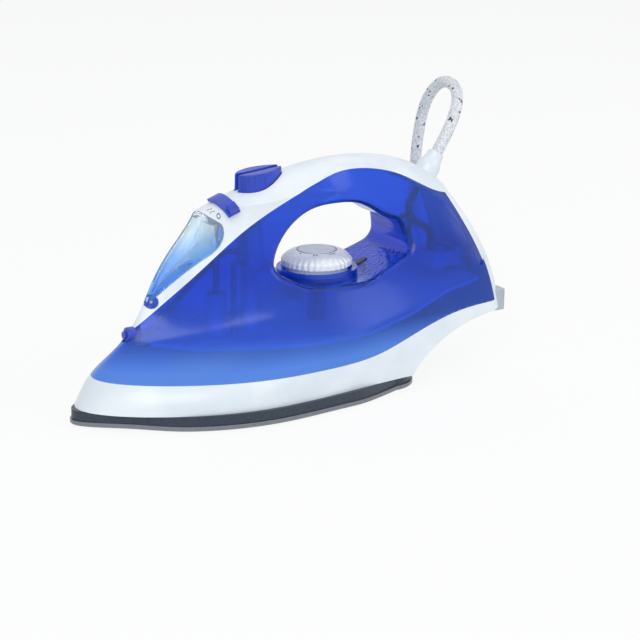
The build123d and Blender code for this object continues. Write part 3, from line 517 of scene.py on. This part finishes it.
@dataclass(frozen=True)
class StovedEnamel(Finish):
    """Dark stoved enamel on the cast base: a slight orange peel that breaks up its highlights."""

    light: str = "2e3a4a"
    shade: str = "222c3a"
    peel_mm: float = 1.8
    band: Span = (0.3, 0.7)
    roughness: Span = (0.28, 0.46)
    relief: Span = (0.8, 0.04)
    ior: float = 1.5

    def surface(self, tree: Tree, place: Socket) -> Surface:
        """Add orange peel.

        Args:
            tree: Material's node tree.
            place: Object coordinates in metres.

        Returns:
            Values and links of the shader.
        """
        peel, tone = mottled(tree, place, self.peel_mm, EVEN, self.band, (self.shade, self.light))
        return ({"IOR": self.ior}, {"Base Color": tone, **grained(tree, peel, self.roughness, self.relief)})


@dataclass(frozen=True)
class DialSilver(Finish):
    """Silver lacquer on the moulded dial: a bright satin, with a dark ring where its line has a width."""

    light: str = "eef2f6"
    shade: str = "dfe5ec"
    ink: str = "39424f"
    centre_mm: float = 23.5
    ring_mm: float = 12.1
    line_mm: float = 0.9
    lacquer_mm: float = 2.0
    band: Span = (0.3, 0.7)
    relief: Span = (0.5, 0.02)
    metallic: float = 0.15
    roughness: float = 0.36

    def surface(self, tree: Tree, place: Socket) -> Surface:
        """Add satin lacquer and a ring about the dial's axis.

        Args:
            tree: Material's node tree.
            place: Object coordinates in metres.

        Returns:
            Values and links of the shader.
        """
        flat = add_node(tree, "Mapping",
                        {"Location": (-self.centre_mm * MM, 0, 0), "Scale": (1, 1, 0)}, {"Vector": place})
        reach = add_node(tree, "VectorMath", {"operation": "LENGTH"}, {0: flat.outputs[0]})
        off = add_node(
            tree, "Math", {"operation": "SUBTRACT", 1: self.ring_mm * MM}, {0: reach.outputs["Value"]})
        away = add_node(tree, "Math", {"operation": "ABSOLUTE"}, {0: off.outputs[0]})
        ring = add_node(
            tree, "Math", {"operation": "LESS_THAN", 1: self.line_mm / 2 * MM}, {0: away.outputs[0]})
        lacquer, tone = mottled(tree, place, self.lacquer_mm, EVEN, self.band, (self.shade, self.light))
        colour = add_node(tree, "Mix", {"data_type": "RGBA", MIX_OVER: linear(self.ink)},
                          {MIX_SHARE: ring.outputs[0], MIX_UNDER: tone})
        bump = add_node(tree, "Bump", {"Strength": self.relief[0], "Distance": self.relief[1] * MM},
                        {"Height": lacquer})
        return ({"Metallic": self.metallic, "Roughness": self.roughness},
                {"Base Color": colour.outputs[MIX_RESULT], "Normal": bump.outputs[0]})


@dataclass(frozen=True)
class WovenYarn(Finish):
    """Woven textile: rounded yarn crowns with painted shade in the gaps, now and then a fleck yarn and a
    soft sheen.
    """

    yarn: str = "eef0f2"
    painted_gap_shade: str = "c9ced4"
    fleck: str = "3c434d"
    fleck_share: float = 0.045
    # Coarser than the real yarn, so that it shows
    yarn_mm: float = 1.5
    band: Span = (0.2, 0.75)
    relief: Span = (0.8, 0.35)
    roughness: float = 0.85
    sheen: float = 0.3

    def surface(self, tree: Tree, place: Socket) -> Surface:
        """Add yarn crowns with painted shade in the gaps, and flecks.

        Args:
            tree: Material's node tree.
            place: Object coordinates in metres.

        Returns:
            Values and links of the shader.
        """
        weave = add_node(
            tree, "TexVoronoi", {"Scale": METRE_MM / self.yarn_mm, "feature": "F1"}, {"Vector": place})
        # Painted shade: darker between the yarn crowns
        stops = tuple(zip(self.band, (self.yarn, self.painted_gap_shade)))
        tone = add_node(tree, "ValToRGB", {"stops": stops}, {"Fac": weave.outputs["Distance"]})
        chance = add_node(tree, "SeparateColor", links={0: weave.outputs["Color"]})
        dark = add_node(tree, "Math", {"operation": "GREATER_THAN", 1: 1 - self.fleck_share},
                        {0: chance.outputs["Red"]})
        colour = add_node(tree, "Mix", {"data_type": "RGBA", MIX_OVER: linear(self.fleck)},
                          {MIX_SHARE: dark.outputs[0], MIX_UNDER: tone.outputs["Color"]})
        crown = add_node(tree, "Math", {"operation": "SUBTRACT", 0: 1.0}, {1: weave.outputs["Distance"]})
        bump = add_node(tree, "Bump", {"Strength": self.relief[0], "Distance": self.relief[1] * MM},
                        {"Height": crown.outputs[0]})
        return ({"Roughness": self.roughness, "Sheen Weight": self.sheen},
                {"Base Color": colour.outputs[MIX_RESULT], "Normal": bump.outputs[0]})


@dataclass(frozen=True)
class PrintedInk(Finish):
    """Pad-printed ink: a thin matt grey film, a little uneven where the plastic shows through."""

    ink: str = "4c535c"
    thin: str = "6d747d"
    film_mm: float = 0.8
    band: Span = (0.3, 0.75)
    roughness: Span = (0.5, 0.7)

    def surface(self, tree: Tree, place: Socket) -> Surface:
        """Add uneven ink.

        Args:
            tree: Material's node tree.
            place: Object coordinates in metres.

        Returns:
            Values and links of the shader.
        """
        film, tone = mottled(tree, place, self.film_mm, EVEN, self.band, (self.ink, self.thin))
        rough = add_node(tree, "MapRange", {"To": self.roughness}, {"Value": film})
        return {}, {"Base Color": tone, "Roughness": rough.outputs[0]}


WHITE = MouldedPlastic("white moulded ABS", "white_plastic")
BLUE = MouldedPlastic("blue moulded ABS", "blue_plastic", "193fc0", "1230a0", 0.42)
GREY = MouldedPlastic("grey moulded ABS", "grey_plastic", "b4bcc4", "a2abb4", 0.45)
NATURAL = MouldedPlastic("natural moulded polypropylene", "inner_plastic", "f2f5f8", "e4e9ee", 0.5)
SHEATH = MouldedPlastic("brown extruded PVC", "wire_sheath", "7a5a44", "6a4c38", 0.5)
RUBBER = MouldedPlastic("extruded silicone rubber", "silicone_rubber", "d8d8d4", "c8c8c4", 0.6)
TANK = TankPlastic("blue tinted polycarbonate", "blue_clear_plastic")
LID = ClearPlastic("pale blue tinted polycarbonate", "pale_blue_clear_plastic")
LENS = ClearPlastic(
    "smoked amber polycarbonate", "amber_plastic", "5a4a6c", "6a5878", "54486a", "6a5878",
    height_mm=(60.0, 90.0), roughness=0.1, clear=0.4)
BULB = ClearPlastic(
    "clear lamp glass", "lamp_glass", "e0bda4", "f0d8c4", "e0bda4", "f0d8c4", height_mm=(60.0, 90.0),
    roughness=0.05, clear=0.8)
STEEL = WorkedMetal("ground stainless steel", "sole_steel", "858b92", "787e85", 0.36)
HEATER = WorkedMetal("oxidised heater steel", "heater_steel", "8f8b86", "76726d", 0.4)
BRIGHT = WorkedMetal("drawn spring steel", "spring_steel", "c8cacc", "aeb1b4")
PINS = WorkedMetal("turned nickel-plated brass", "brass", "dcd6bc", "c4ba96", 0.22, line_mm=0.4)
ENAMEL = StovedEnamel("dark stoved enamel", "cast_alloy")
SILVER = DialSilver("silver lacquered ABS", "silver_plastic")
DISC = DialSilver("silver printed disc", "grey_plastic", "d6dee8", "c2cbd8", line_mm=0.0)
BRAID = WovenYarn("woven textile braid", "braided_fabric")
STRAP = WovenYarn(
    "woven nylon strap", "strap_fabric", "353a42", "1c1f24", "4a505a", fleck_share=0.2, yarn_mm=0.9)
INK = PrintedInk("grey pad-printed ink", "grey_plastic")

Parts = tuple[tuple[str, Finish], ...]


@dataclass
class Workshop:
    """Turns CAD nodes and new meshes into dressed pieces."""

    frame: dict[str, Any]
    materials: dict[str, bpy.types.Material] = field(default_factory=dict)
    merge_mm: float = 0.01
    sliver_mm: float = 0.005

    def material(self, finish: Finish) -> bpy.types.Material:
        """Build a finish once and keep it.

        Args:
            finish: Finish that is needed.

        Returns:
            Its material.
        """
        if finish.name not in self.materials:
            self.materials[finish.name] = finish.material()
        return self.materials[finish.name]

    def body_of(self, node: str) -> Body:
        """Body that a CAD node rides on."""
        bodies = self.frame["record"]["behaviour"]["bodies"]
        return next(Body(body) for body, nodes in bodies.items() if node in nodes)

    def place(self, name: str, data: bpy.types.ID, body: Body, finish: Finish) -> bpy.types.Object:
        """Put a new piece into the scene.

        Args:
            name: Piece's name.
            data: Its mesh or curve, with its place in its points.
            body: Body that it rides on.
            finish: Finish that it wears.

        Returns:
            The piece.
        """
        data.materials.clear()
        data.materials.append(self.material(finish))
        piece = add_object(name, data)
        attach(piece, body.value)
        LOG.info("%s rides on %s in %s", name, body.value, finish.name)
        return piece

    def merged(self, node: str) -> Shape:
        """Copy a CAD node's mesh with its loose triangles joined.

        Args:
            node: CAD node's name.

        Returns:
            The copy, for the caller to free.
        """
        shape = bmesh.new()
        shape.from_mesh(self.frame["nodes"][node].data)
        bmesh.ops.remove_doubles(shape, verts=shape.verts, dist=self.merge_mm * MM)
        bmesh.ops.dissolve_degenerate(shape, edges=shape.edges, dist=self.sliver_mm * MM)
        return shape

    def copy(self, node: str, finish: Finish) -> bpy.types.Object:
        """Stand a copy in for a CAD node, with the normals of the CAD surface.

        Args:
            node: CAD node's name.
            finish: Finish of the copy.

        Returns:
            The new piece.
        """
        mesh = self.frame["nodes"][node].data.copy()
        piece = self.place(f"{node}_skin", mesh, self.body_of(node), finish)
        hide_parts(node)
        return piece

    def stand_in(self, node: str, shape: Shape, finish: Finish, crease: float = 32.0) -> bpy.types.Object:
        """Stand a mesh in for a CAD node, shaded smooth with crisp creases.

        Args:
            node: CAD node's name.
            shape: Mesh in metres, which is freed.
            finish: Finish of the piece.
            crease: Edges sharper than this stay crisp, in degrees.

        Returns:
            The new piece.
        """
        for face in shape.faces:
            face.smooth = True
            face.material_index = 0
        mesh = bpy.data.meshes.new(f"{node}_skin")
        shape.to_mesh(mesh)
        shape.free()
        mesh.set_sharp_from_angle(angle=math.radians(crease))
        piece = self.place(f"{node}_skin", mesh, self.body_of(node), finish)
        normals = piece.modifiers.new("even normals", "WEIGHTED_NORMAL")
        normals.keep_sharp = True
        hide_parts(node)
        return piece

    def dress(self, parts: Parts) -> None:
        """Give CAD nodes their finishes.

        Args:
            parts: Nodes with their finishes.
        """
        for node, finish in parts:
            mesh = self.frame["nodes"][node].data
            mesh.materials.clear()
            mesh.materials.append(self.material(finish))
            LOG.info("%s in %s", node, finish.name)


@dataclass
class Stroke:
    """A short printed line, ring or dot that is laid onto a curved piece along one direction."""

    centre_mm: Vector
    along: Vector
    inward: Vector
    length_mm: float = 0.0
    width_mm: float = 0.6
    ring_mm: float = 0.0
    bow_mm: float = 0.0
    film_mm: float = 0.05
    above_mm: float = 0.06
    drop_mm: float = 20.0
    ring_steps: int = 32
    line_steps: int = 12

    def flat(self) -> Shape:
        """Make the flat mark about its own origin, in metres.

        Returns:
            A ring or dot if it has a radius, else a bowed line.
        """
        shape = bmesh.new()
        width = self.width_mm * MM
        if self.ring_mm:
            bmesh.ops.create_circle(shape, cap_ends=True, segments=self.ring_steps,
                                    radius=(self.ring_mm + self.width_mm / 2) * MM)
            if self.ring_mm > self.width_mm / 2:
                inside = shape.faces[:]
                bmesh.ops.inset_individual(shape, faces=inside, thickness=width, use_even_offset=True)
                bmesh.ops.delete(shape, geom=inside, context="FACES")
            return shape
        length = self.length_mm * MM
        bmesh.ops.create_grid(shape, x_segments=self.line_steps, y_segments=1, size=0.5)
        bmesh.ops.scale(shape, vec=(length, width, 1), verts=shape.verts)
        for vert in shape.verts:
            vert.co.y += self.bow_mm * MM * math.sin(math.tau * vert.co.x / length)
        return shape

    def lay(self, surface: BVHTree) -> Shape:
        """Lay the mark on a surface, a hair above it, and give it the thickness of its film.

        Args:
            surface: Tree of the piece that carries the mark.

        Returns:
            The laid mark, for the caller to free.
        """
        shape = self.flat()
        inward = self.inward.normalized()
        across = inward.cross(self.along).normalized()
        turn = Matrix((across.cross(inward), across, -inward)).transposed().to_4x4()
        bmesh.ops.transform(shape, matrix=Matrix.Translation(self.centre_mm * MM) @ turn, verts=shape.verts)
        for vert in shape.verts:
            hit, normal, _, _ = surface.ray_cast(vert.co - inward * (self.drop_mm * MM), inward)
            if hit is not None:
                vert.co = hit + normal * self.above_mm * MM
        shape.normal_update()
        turned = [face for face in shape.faces if face.normal.dot(inward) > 0]
        bmesh.ops.reverse_faces(shape, faces=turned)
        bmesh.ops.solidify(shape, geom=shape.faces[:], thickness=self.film_mm * MM)
        bmesh.ops.recalc_face_normals(shape, faces=shape.faces)
        return shape


@dataclass
class Print:
    """A set of printed strokes on one CAD node."""

    name: str
    node: str
    strokes: list[Stroke]

    def build(self, shop: Workshop) -> None:
        """Lay the strokes and join them into one inked piece.

        Args:
            shop: Workshop that places the piece.
        """
        carrier = shop.merged(self.node)
        surface = BVHTree.FromBMesh(carrier)
        mesh = bpy.data.meshes.new(self.name)
        whole = bmesh.new()
        for stroke in self.strokes:
            part = stroke.lay(surface)
            part.to_mesh(mesh)
            part.free()
            whole.from_mesh(mesh)
        whole.to_mesh(mesh)
        whole.free()
        carrier.free()
        shop.place(self.name, mesh, shop.body_of(self.node), INK)


@dataclass
class Assembly:
    """What every sub-assembly has: CAD nodes that keep their meshes and are dressed."""

    parts: Parts = ()

    def build(self, shop: Workshop) -> None:
        """Dress the nodes."""
        shop.dress(self.parts)


@dataclass
class Sole(Assembly):
    """Steel sole plate, its dark cast base and the heater parts on it."""

    parts: Parts = (
        ("sole_plate", STEEL),
        ("sole_casting", ENAMEL),
        ("steam_chamber_cover", ENAMEL),
        ("heating_element", HEATER),
        ("thermostat_frame", HEATER),
        ("bimetal_blade", HEATER),
        ("thermal_fuse", NATURAL),
    )


@dataclass
class Housing(Assembly):
    """White skirt and handle cover, the see-through tank between them and what stands inside it."""

    parts: Parts = (
        ("skirt", WHITE),
        ("handle_cover", WHITE),
        ("rear_cover", WHITE),
        ("rear_screws", BRIGHT),
        ("heel_feet", GREY),
        ("tank_body", TANK),
        ("tank_floor", NATURAL),
        ("valve_seat", NATURAL),
        ("valve_rod", BRIGHT),
        ("lamp_lens", LENS),
        ("pilot_lamp", BULB),
        ("terminal_block", NATURAL),
        ("terminal_screws", BRIGHT),
        ("lead_wires", SHEATH),
    )


@dataclass
class Filler(Assembly):
    """Pale see-through lid over the white tray that water is poured into."""

    parts: Parts = (
        ("fill_lid", LID),
        ("fill_funnel", WHITE),
        ("lid_pin", BRIGHT),
    )


@dataclass
class Controls(Assembly):
    """Steam and spray buttons with their pumps, the steam slider with its marks, and the nozzle."""

    axis_mm: Point = (-35.747, 0.0, 103.412)
    slide: Point = (0.935839, 0.0, 0.352427)
    crown_mm: float = 22.0
    off_angle: float = 29.0
    off_ahead_mm: float = 7.2
    off_ring_mm: float = 0.95
    off_width_mm: float = 0.45
    steam_angles: Span = (12.0, 20.0)
    steam_ahead_mm: float = 9.2
    steam_length_mm: float = 3.4
    steam_width_mm: float = 0.5
    steam_bow_mm: float = 0.4
    buttons: tuple[str, str] = ("steam_button", "spray_button")
    button_crease: float = 18.0
    springs: tuple[tuple[str, str], ...] = (
        ("steam_spring", "steam_press"), ("spray_spring", "spray_press"))
    travel_mm: float = 5.0
    saddle_share: float = 0.64
    saddle_mm: float = 21.6
    rib_mm: float = 3.2
    rib_depth_mm: float = 0.35
    wall_from: float = 0.4
    cut_mm: float = 0.0001
    sliver_mm: float = 0.003
    parts: Parts = (
        ("spray_nozzle", BLUE),
        ("pump_block", NATURAL),
        ("steam_piston", NATURAL),
        ("spray_piston", NATURAL),
        ("spray_tube", RUBBER),
        ("steam_tube", RUBBER),
    )

    def on_crown(self, angle: float, ahead_mm: float) -> tuple[Vector, Vector]:
        """Find a place on the crown ahead of the slider.

        Args:
            angle: Degrees from the top towards the near side.
            ahead_mm: Distance ahead of the slider's middle, in millimetres.

        Returns:
            The point in millimetres and the direction to the slider's axis.
        """
        slide = Vector(self.slide)
        up = Vector((-slide.z, 0, slide.x))
        near = Vector((0, -1, 0))
        outward = up * math.cos(math.radians(angle)) + near * math.sin(math.radians(angle))
        return Vector(self.axis_mm) - slide * ahead_mm + outward * self.crown_mm, -outward

    def slimmed(self, shape: Shape) -> Shape:
        """Draw the slider's saddle and thumb tab in along the handle, as slim as the real ones.

        Args:
            shape: Slider in metres.

        Returns:
            The same mesh with a slim saddle; its shoe stays, and its arm tapers to meet the saddle.
        """
        slide = Vector(self.slide)
        across = Vector((0, 1, 0))
        middle = Vector(self.axis_mm) * MM
        turn = Matrix((slide, across, slide.cross(across))).to_4x4()
        outside = []
        for vert in shape.verts:
            reach = vert.co - middle
            if (reach - slide * reach.dot(slide)).length > self.saddle_mm * MM:
                outside.append(vert)
        bmesh.ops.scale(
            shape, vec=(self.saddle_share, 1, 1), space=turn @ Matrix.Translation(-middle), verts=outside)
        return shape

    def ribbed(self, shape: Shape) -> Shape:
        """Cut upright grooves into a button's long walls, so that ribs are left between them.

        Args:
            shape: Plain button in metres.

        Returns:
            The same mesh with its ribs.
        """
        left = min(vert.co.x for vert in shape.verts)
        right = max(vert.co.x for vert in shape.verts)
        half = self.rib_mm / 2 * MM
        grooves: list[bmesh.types.BMVert] = []
        for cut in range(1, int((right - left) / half)):
            found = bmesh.ops.bisect_plane(
                shape, geom=shape.verts[:] + shape.edges[:] + shape.faces[:],
                dist=self.cut_mm * MM, plane_co=(left + cut * half, 0, 0), plane_no=(1, 0, 0))
            if cut % 2:
                grooves += [item for item in found["geom_cut"] if isinstance(item, bmesh.types.BMVert)]
        shape.normal_update()
        for vert in grooves:
            wall = max(0.0, (abs(vert.normal.y) - self.wall_from) / (1 - self.wall_from))
            vert.co.y -= math.copysign(wall * self.rib_depth_mm * MM, vert.normal.y)
        bmesh.ops.dissolve_degenerate(shape, edges=shape.edges, dist=self.sliver_mm * MM)
        return shape

    def build(self, shop: Workshop) -> None:
        """Dress the nodes, rib the buttons, slim the slider, copy the springs and print the marks.

        Args:
            shop: Workshop that places the pieces.
        """
        super().build(shop)
        for button in self.buttons:
            shop.stand_in(button, self.ribbed(shop.merged(button)), BLUE, self.button_crease)
        shop.stand_in("steam_slider", self.slimmed(shop.merged("steam_slider")), BLUE)
        for spring, joint in self.springs:
            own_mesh(shop.copy(spring, BRIGHT))
        slide = Vector(self.slide)
        point, inward = self.on_crown(self.off_angle, self.off_ahead_mm)
        strokes = [Stroke(point, slide, inward, width_mm=self.off_width_mm, ring_mm=self.off_ring_mm)]
        for angle in self.steam_angles:
            point, inward = self.on_crown(angle, self.steam_ahead_mm)
            strokes.append(Stroke(point, slide, inward, self.steam_length_mm, self.steam_width_mm,
                                  bow_mm=self.steam_bow_mm))
        Print("slider_marks", "handle_cover", strokes).build(shop)


@dataclass
class Dial(Assembly):
    """Silver temperature dial with its printed disc, heat dots and shaft."""

    centre_mm: Point = (23.5, 0.0, 90.0)
    dots_mm: float = 14.2
    dot_mm: float = 0.6
    dot_step: float = 7.0
    groups: tuple[tuple[float, int], ...] = ((196.0, 1), (234.0, 2), (276.0, 3))
    flutes: int = 36
    steps_per_flute: int = 8
    flute_depth_mm: float = 0.55
    flute_from_mm: float = 15.5
    crest_mm: Span = (12.7, 86.0)
    crown_mm: Span = (18.6, 83.8)
    rim_mm: Span = (22.0, 80.5)
    crown_steps: int = 12
    below_mm: tuple[Span, ...] = (
        (22.0, 79.0), (22.0, 77.5), (19.0, 77.5), (19.0, 72.0), (3.0, 72.0), (3.0, 80.5), (0.0, 80.5))
    disc_mm: tuple[Span, ...] = ((0.0, 85.4), (11.5, 85.4), (11.5, 86.0))
    merge_mm: float = 0.001
    slack_mm: float = 0.01
    parts: Parts = (
        ("dial_disc", DISC),
        ("dial_shaft", GREY),
    )

    def crown(self) -> list[Span]:
        """Points of the crown's arc through its crest, its middle and its rim.

        Returns:
            Radius and height of each point in millimetres.
        """
        corners = (self.crest_mm, self.crown_mm, self.rim_mm)
        x = y = spread = 0.0
        for turn in range(len(corners)):
            here, after, last = corners[turn:] + corners[:turn]
            square = here[0] ** 2 + here[1] ** 2
            x += square * (after[1] - last[1])
            y += square * (last[0] - after[0])
            spread += 2 * here[0] * (after[1] - last[1])
        x, y = x / spread, y / spread
        radius = math.dist((x, y), self.crest_mm)
        start, end = (math.atan2(height - y, reach - x) for reach, height in (self.crest_mm, self.rim_mm))
        angles = [start + (end - start) * step / self.crown_steps for step in range(self.crown_steps + 1)]
        return [(x + radius * math.cos(angle), y + radius * math.sin(angle)) for angle in angles]

    def turned(self) -> Shape:
        """Turn the dial's profile and press flutes into its crown and rim.

        Returns:
            The dial in metres.
        """
        shape = bmesh.new()
        centre = Vector((*self.centre_mm[:2], 0)) * MM
        profile = [shape.verts.new(centre + Vector((radius, 0, height)) * MM)
                   for radius, height in (*self.disc_mm, *self.crown(), *self.below_mm)]
        edges = [shape.edges.new(pair) for pair in zip(profile, profile[1:])]
        bmesh.ops.spin(shape, geom=profile + edges, cent=centre, axis=(0, 0, 1), angle=math.tau,
                       steps=self.flutes * self.steps_per_flute, use_merge=True)
        bmesh.ops.remove_doubles(shape, verts=shape.verts, dist=self.merge_mm * MM)
        bmesh.ops.recalc_face_normals(shape, faces=shape.faces)
        foot_mm = self.below_mm[1][1] - self.slack_mm
        fluted_mm = self.rim_mm[0] - self.flute_from_mm
        for vert in shape.verts:
            out = (vert.co - centre).xy
            share = min(1.0, (out.length / MM - self.flute_from_mm) / fluted_mm)
            if share > 0 and vert.co.z / MM > foot_mm:
                wave = 0.5 - 0.5 * math.cos(self.flutes * math.atan2(out.y, out.x))
                out *= 1 - share * wave * self.flute_depth_mm * MM / out.length
                vert.co.xy = centre.xy + out
        return shape

    def build(self, shop: Workshop) -> None:
        """Turn the dial, dress its other nodes and print its groups of one, two and three heat dots.

        Args:
            shop: Workshop that places the pieces.
        """
        shop.stand_in("temperature_dial", self.turned(), SILVER)
        super().build(shop)
        dots = []
        for start, count in self.groups:
            for place in range(count):
                angle = math.radians(start + self.dot_step * place)
                out = Vector((math.cos(angle), math.sin(angle), 0))
                centre = Vector(self.centre_mm) + out * self.dots_mm
                dots.append(Stroke(centre, out, Vector((0, 0, -1)), width_mm=self.dot_mm,
                                   ring_mm=self.dot_mm / 2))
        Print("dial_dots", "temperature_dial", dots).build(shop)


@dataclass
class Cord(Assembly):
    """Braided mains cord: out of its guard, down behind the heel, round its coil and on to the plug."""

    diameter_mm: float = 7.5
    low_mm: float = 5.2
    pitch_mm: float = 8.3
    radius_mm: float = 51.0
    half_turns: int = 5
    points_per_half_turn: int = 8
    centre_mm: Span = (98.0, 133.0)
    straight_mm: float = 34.0
    plug_end_mm: Span = (22.0, 8.19)
    plug_lead_mm: Point = (18.65, 0.0, -3.61)
    length: float = 1.64
    order: int = 3
    round_steps: int = 4
    run_steps: int = 6
    parts: Parts = (
        ("cord_guard", WHITE),
    )
    carried: Parts = (
        ("plug_body", WHITE),
        ("plug_pins", PINS),
        ("cord_tie", STRAP),
    )

    def half_turn(self, here: Vector, side: int, radius: float, rise: float) -> list[Vector]:
        """Control points of one half turn, without its start.

        Args:
            here: Where the half turn starts.
            side: 1 towards the far side, -1 back.
            radius: Radius in millimetres.
            rise: Climb over the half turn in millimetres.

        Returns:
            Points up to the end of the half turn.
        """
        centre = here + Vector((0, side * radius, 0))
        steps = self.points_per_half_turn
        outside = radius / math.cos(math.pi / steps / 2)
        points = []
        for step in range(steps):
            share = (step + 0.5) / steps
            angle = math.pi * share
            points.append(centre + Vector((-side * outside * math.sin(angle),
                                           -side * outside * math.cos(angle), rise * share)))
        points.append(here + Vector((0, 2 * side * radius, rise)))
        return points

    def route(self) -> list[Vector]:
        """Control points of the whole cord.

        Returns:
            Points in millimetres.
        """
        x, y = self.centre_mm
        here = Vector((x, y - self.radius_mm, self.low_mm))
        points = [Vector(p) for p in (
            (109.21, 0, 137.45), (121.51, 0, 155.69), (136, 16, 173), (141, 43, 176),
            (142, 66, 158), (140.5, 72.5, 126), (140.5, 73.8, 97), (142, 75.5, 69),
            (143.5, 78, 45), (140.5, 80.6, 24), (129.5, 82, 11), (113.5, 82, self.low_mm), here)]
        side = 1
        radius = self.radius_mm
        for turn in range(2 * self.half_turns):
            climb = self.pitch_mm if turn == self.half_turns else 0.0
            points += self.half_turn(here, side, radius, climb)
            here = points[-1]
            side = -side
            radius += self.pitch_mm / 2 if turn >= self.half_turns else -self.pitch_mm / 2
        end = Vector((self.plug_end_mm[0], here.y, self.plug_end_mm[1]))
        points += [here - Vector((self.straight_mm, 0, 0)), end + Vector(self.plug_lead_mm), end]
        return points

    def build(self, shop: Workshop) -> None:
        """Dress the guard, copy what hangs on the cord, and lay the cord.

        Args:
            shop: Workshop that places the pieces.
        """
        super().build(shop)
        carried = [shop.copy(node, finish).name for node, finish in self.carried]
        curve = bpy.data.curves.new("mains_cord", "CURVE")
        curve.dimensions = "3D"
        curve.bevel_depth = self.diameter_mm / 2 * MM
        curve.bevel_resolution = self.round_steps
        curve.resolution_u = self.run_steps
        curve.use_fill_caps = True
        points = self.route()
        spline = curve.splines.new("NURBS")
        spline.points.add(len(points) - 1)
        for control, point in zip(spline.points, points):
            control.co = (*(point * MM), 1.0)
        spline.order_u = self.order
        spline.use_endpoint_u = True
        piece = shop.place("mains_cord", curve, Body.IRON, BRAID)
        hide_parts("cord_tail", "cord_coil", "cord_lead")


@dataclass(frozen=True)
class Lamp:
    """A square soft lamp: its place and side in metres, its power in watts."""

    name: str
    place: Point
    size: float
    power: float


@dataclass
class Studio:
    """Pale floor, soft lamps and the camera at the photograph's angle."""

    eye_mm: Point = (-545.5, -1000.08, 380.77)
    target_mm: Point = (-2.5, 0.0, 0.0)
    lens_mm: float = 108.36
    sensor_mm: float = 36.0
    shift: Span = (0.06326, 0.10637)
    far: float = 20.0
    lamps: tuple[Lamp, ...] = (
        Lamp("key softbox", (-1.2, -1.65, 1.35), 1.6, 27.0),
        Lamp("fill softbox", (1.6, -1.0, 1.1), 1.4, 9.0),
        Lamp("top softbox", (0.2, 0.5, 1.9), 1.8, 7.5),
    )
    lamp_aim: Point = (0.0, 0.0, 0.06)
    sky: str = "e6eaf0"
    sky_strength: float = 0.55
    white: str = "ffffff"
    paper: str = "f6f7f8"
    paper_glow: float = 0.86
    floor_half: float = 6.0
    floor_mm: float = -0.5

    def camera(self) -> None:
        """Place the camera."""
        data = bpy.data.cameras.new("camera")
        data.lens = self.lens_mm
        data.sensor_width = self.sensor_mm
        data.sensor_fit = "HORIZONTAL"
        data.shift_x, data.shift_y = self.shift
        data.clip_end = self.far
        camera = add_object("camera", data)
        camera.matrix_world = aimed(Vector(self.eye_mm) * MM, Vector(self.target_mm) * MM)
        bpy.context.scene.camera = camera

    def light(self) -> None:
        """Hang the soft lamps round the iron."""
        for lamp in self.lamps:
            data = bpy.data.lights.new(lamp.name, "AREA")
            data.size = lamp.size
            data.energy = lamp.power
            hung = add_object(lamp.name, data)
            hung.matrix_world = aimed(Vector(lamp.place), Vector(self.lamp_aim))

    def seen(self, tree: Tree) -> Socket:
        """Tell rays that see a surface, straight, in gloss or through glass, from rays that light it.

        Args:
            tree: Node tree that needs to know.

        Returns:
            1 for rays that see, 0 for rays that light.
        """
        path = add_node(tree, "LightPath")
        clear = add_node(tree, "Math", {"operation": "MAXIMUM"},
                         {0: path.outputs["Is Camera Ray"], 1: path.outputs["Is Transmission Ray"]})
        both = add_node(
            tree, "Math", {"operation": "MAXIMUM"}, {0: clear.outputs[0], 1: path.outputs["Is Glossy Ray"]})
        return both.outputs[0]

    def backdrop(self) -> None:
        """Set the pale world, which is seen as white."""
        world = bpy.data.worlds.new("studio")
        bpy.context.scene.world = world
        tree = emptied(world)
        plain = add_node(tree, "Background", {"Color": linear(self.sky), "Strength": self.sky_strength})
        white = add_node(tree, "Background", {"Color": linear(self.white), "Strength": 1.0})
        both = add_node(
            tree, "MixShader", links={0: self.seen(tree), 1: plain.outputs[0], 2: white.outputs[0]})
        add_node(tree, "OutputWorld", links={"Surface": both.outputs[0]})

    def floor(self) -> None:
        """Lay the white paper floor, which keeps the iron's shadow."""
        mesh = bpy.data.meshes.new("floor")
        shape = bmesh.new()
        bmesh.ops.create_grid(shape, x_segments=1, y_segments=1, size=self.floor_half)
        shape.to_mesh(mesh)
        shape.free()
        floor = add_object("floor", mesh)
        floor.location.z = self.floor_mm * MM
        material = bpy.data.materials.new("white paper backdrop")
        tree = emptied(material)
        share = add_node(tree, "Math", {"operation": "MULTIPLY", 1: self.paper_glow}, {0: self.seen(tree)})
        paper = add_node(tree, "BsdfDiffuse", {"Color": linear(self.paper)})
        glow = add_node(tree, "Emission", {"Color": linear(self.white), "Strength": 1.0})
        both = add_node(
            tree, "MixShader", links={0: share.outputs[0], 1: paper.outputs[0], 2: glow.outputs[0]})
        add_node(tree, "OutputMaterial", links={"Surface": both.outputs[0]})
        mesh.materials.append(material)

    def build(self) -> None:
        """Set up the camera, the light and the floor."""
        self.camera()
        self.light()
        self.backdrop()
        self.floor()


def main() -> None:
    """Load the frame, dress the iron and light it."""
    logging.basicConfig(level=logging.INFO)
    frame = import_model()
    bpy.context.scene.view_settings.view_transform = "Standard"
    Studio().build()
    shop = Workshop(frame)
    for assembly in (Sole(), Housing(), Filler(), Controls(), Dial(), Cord()):
        assembly.build(shop)


if __name__ == "__main__":
    main()
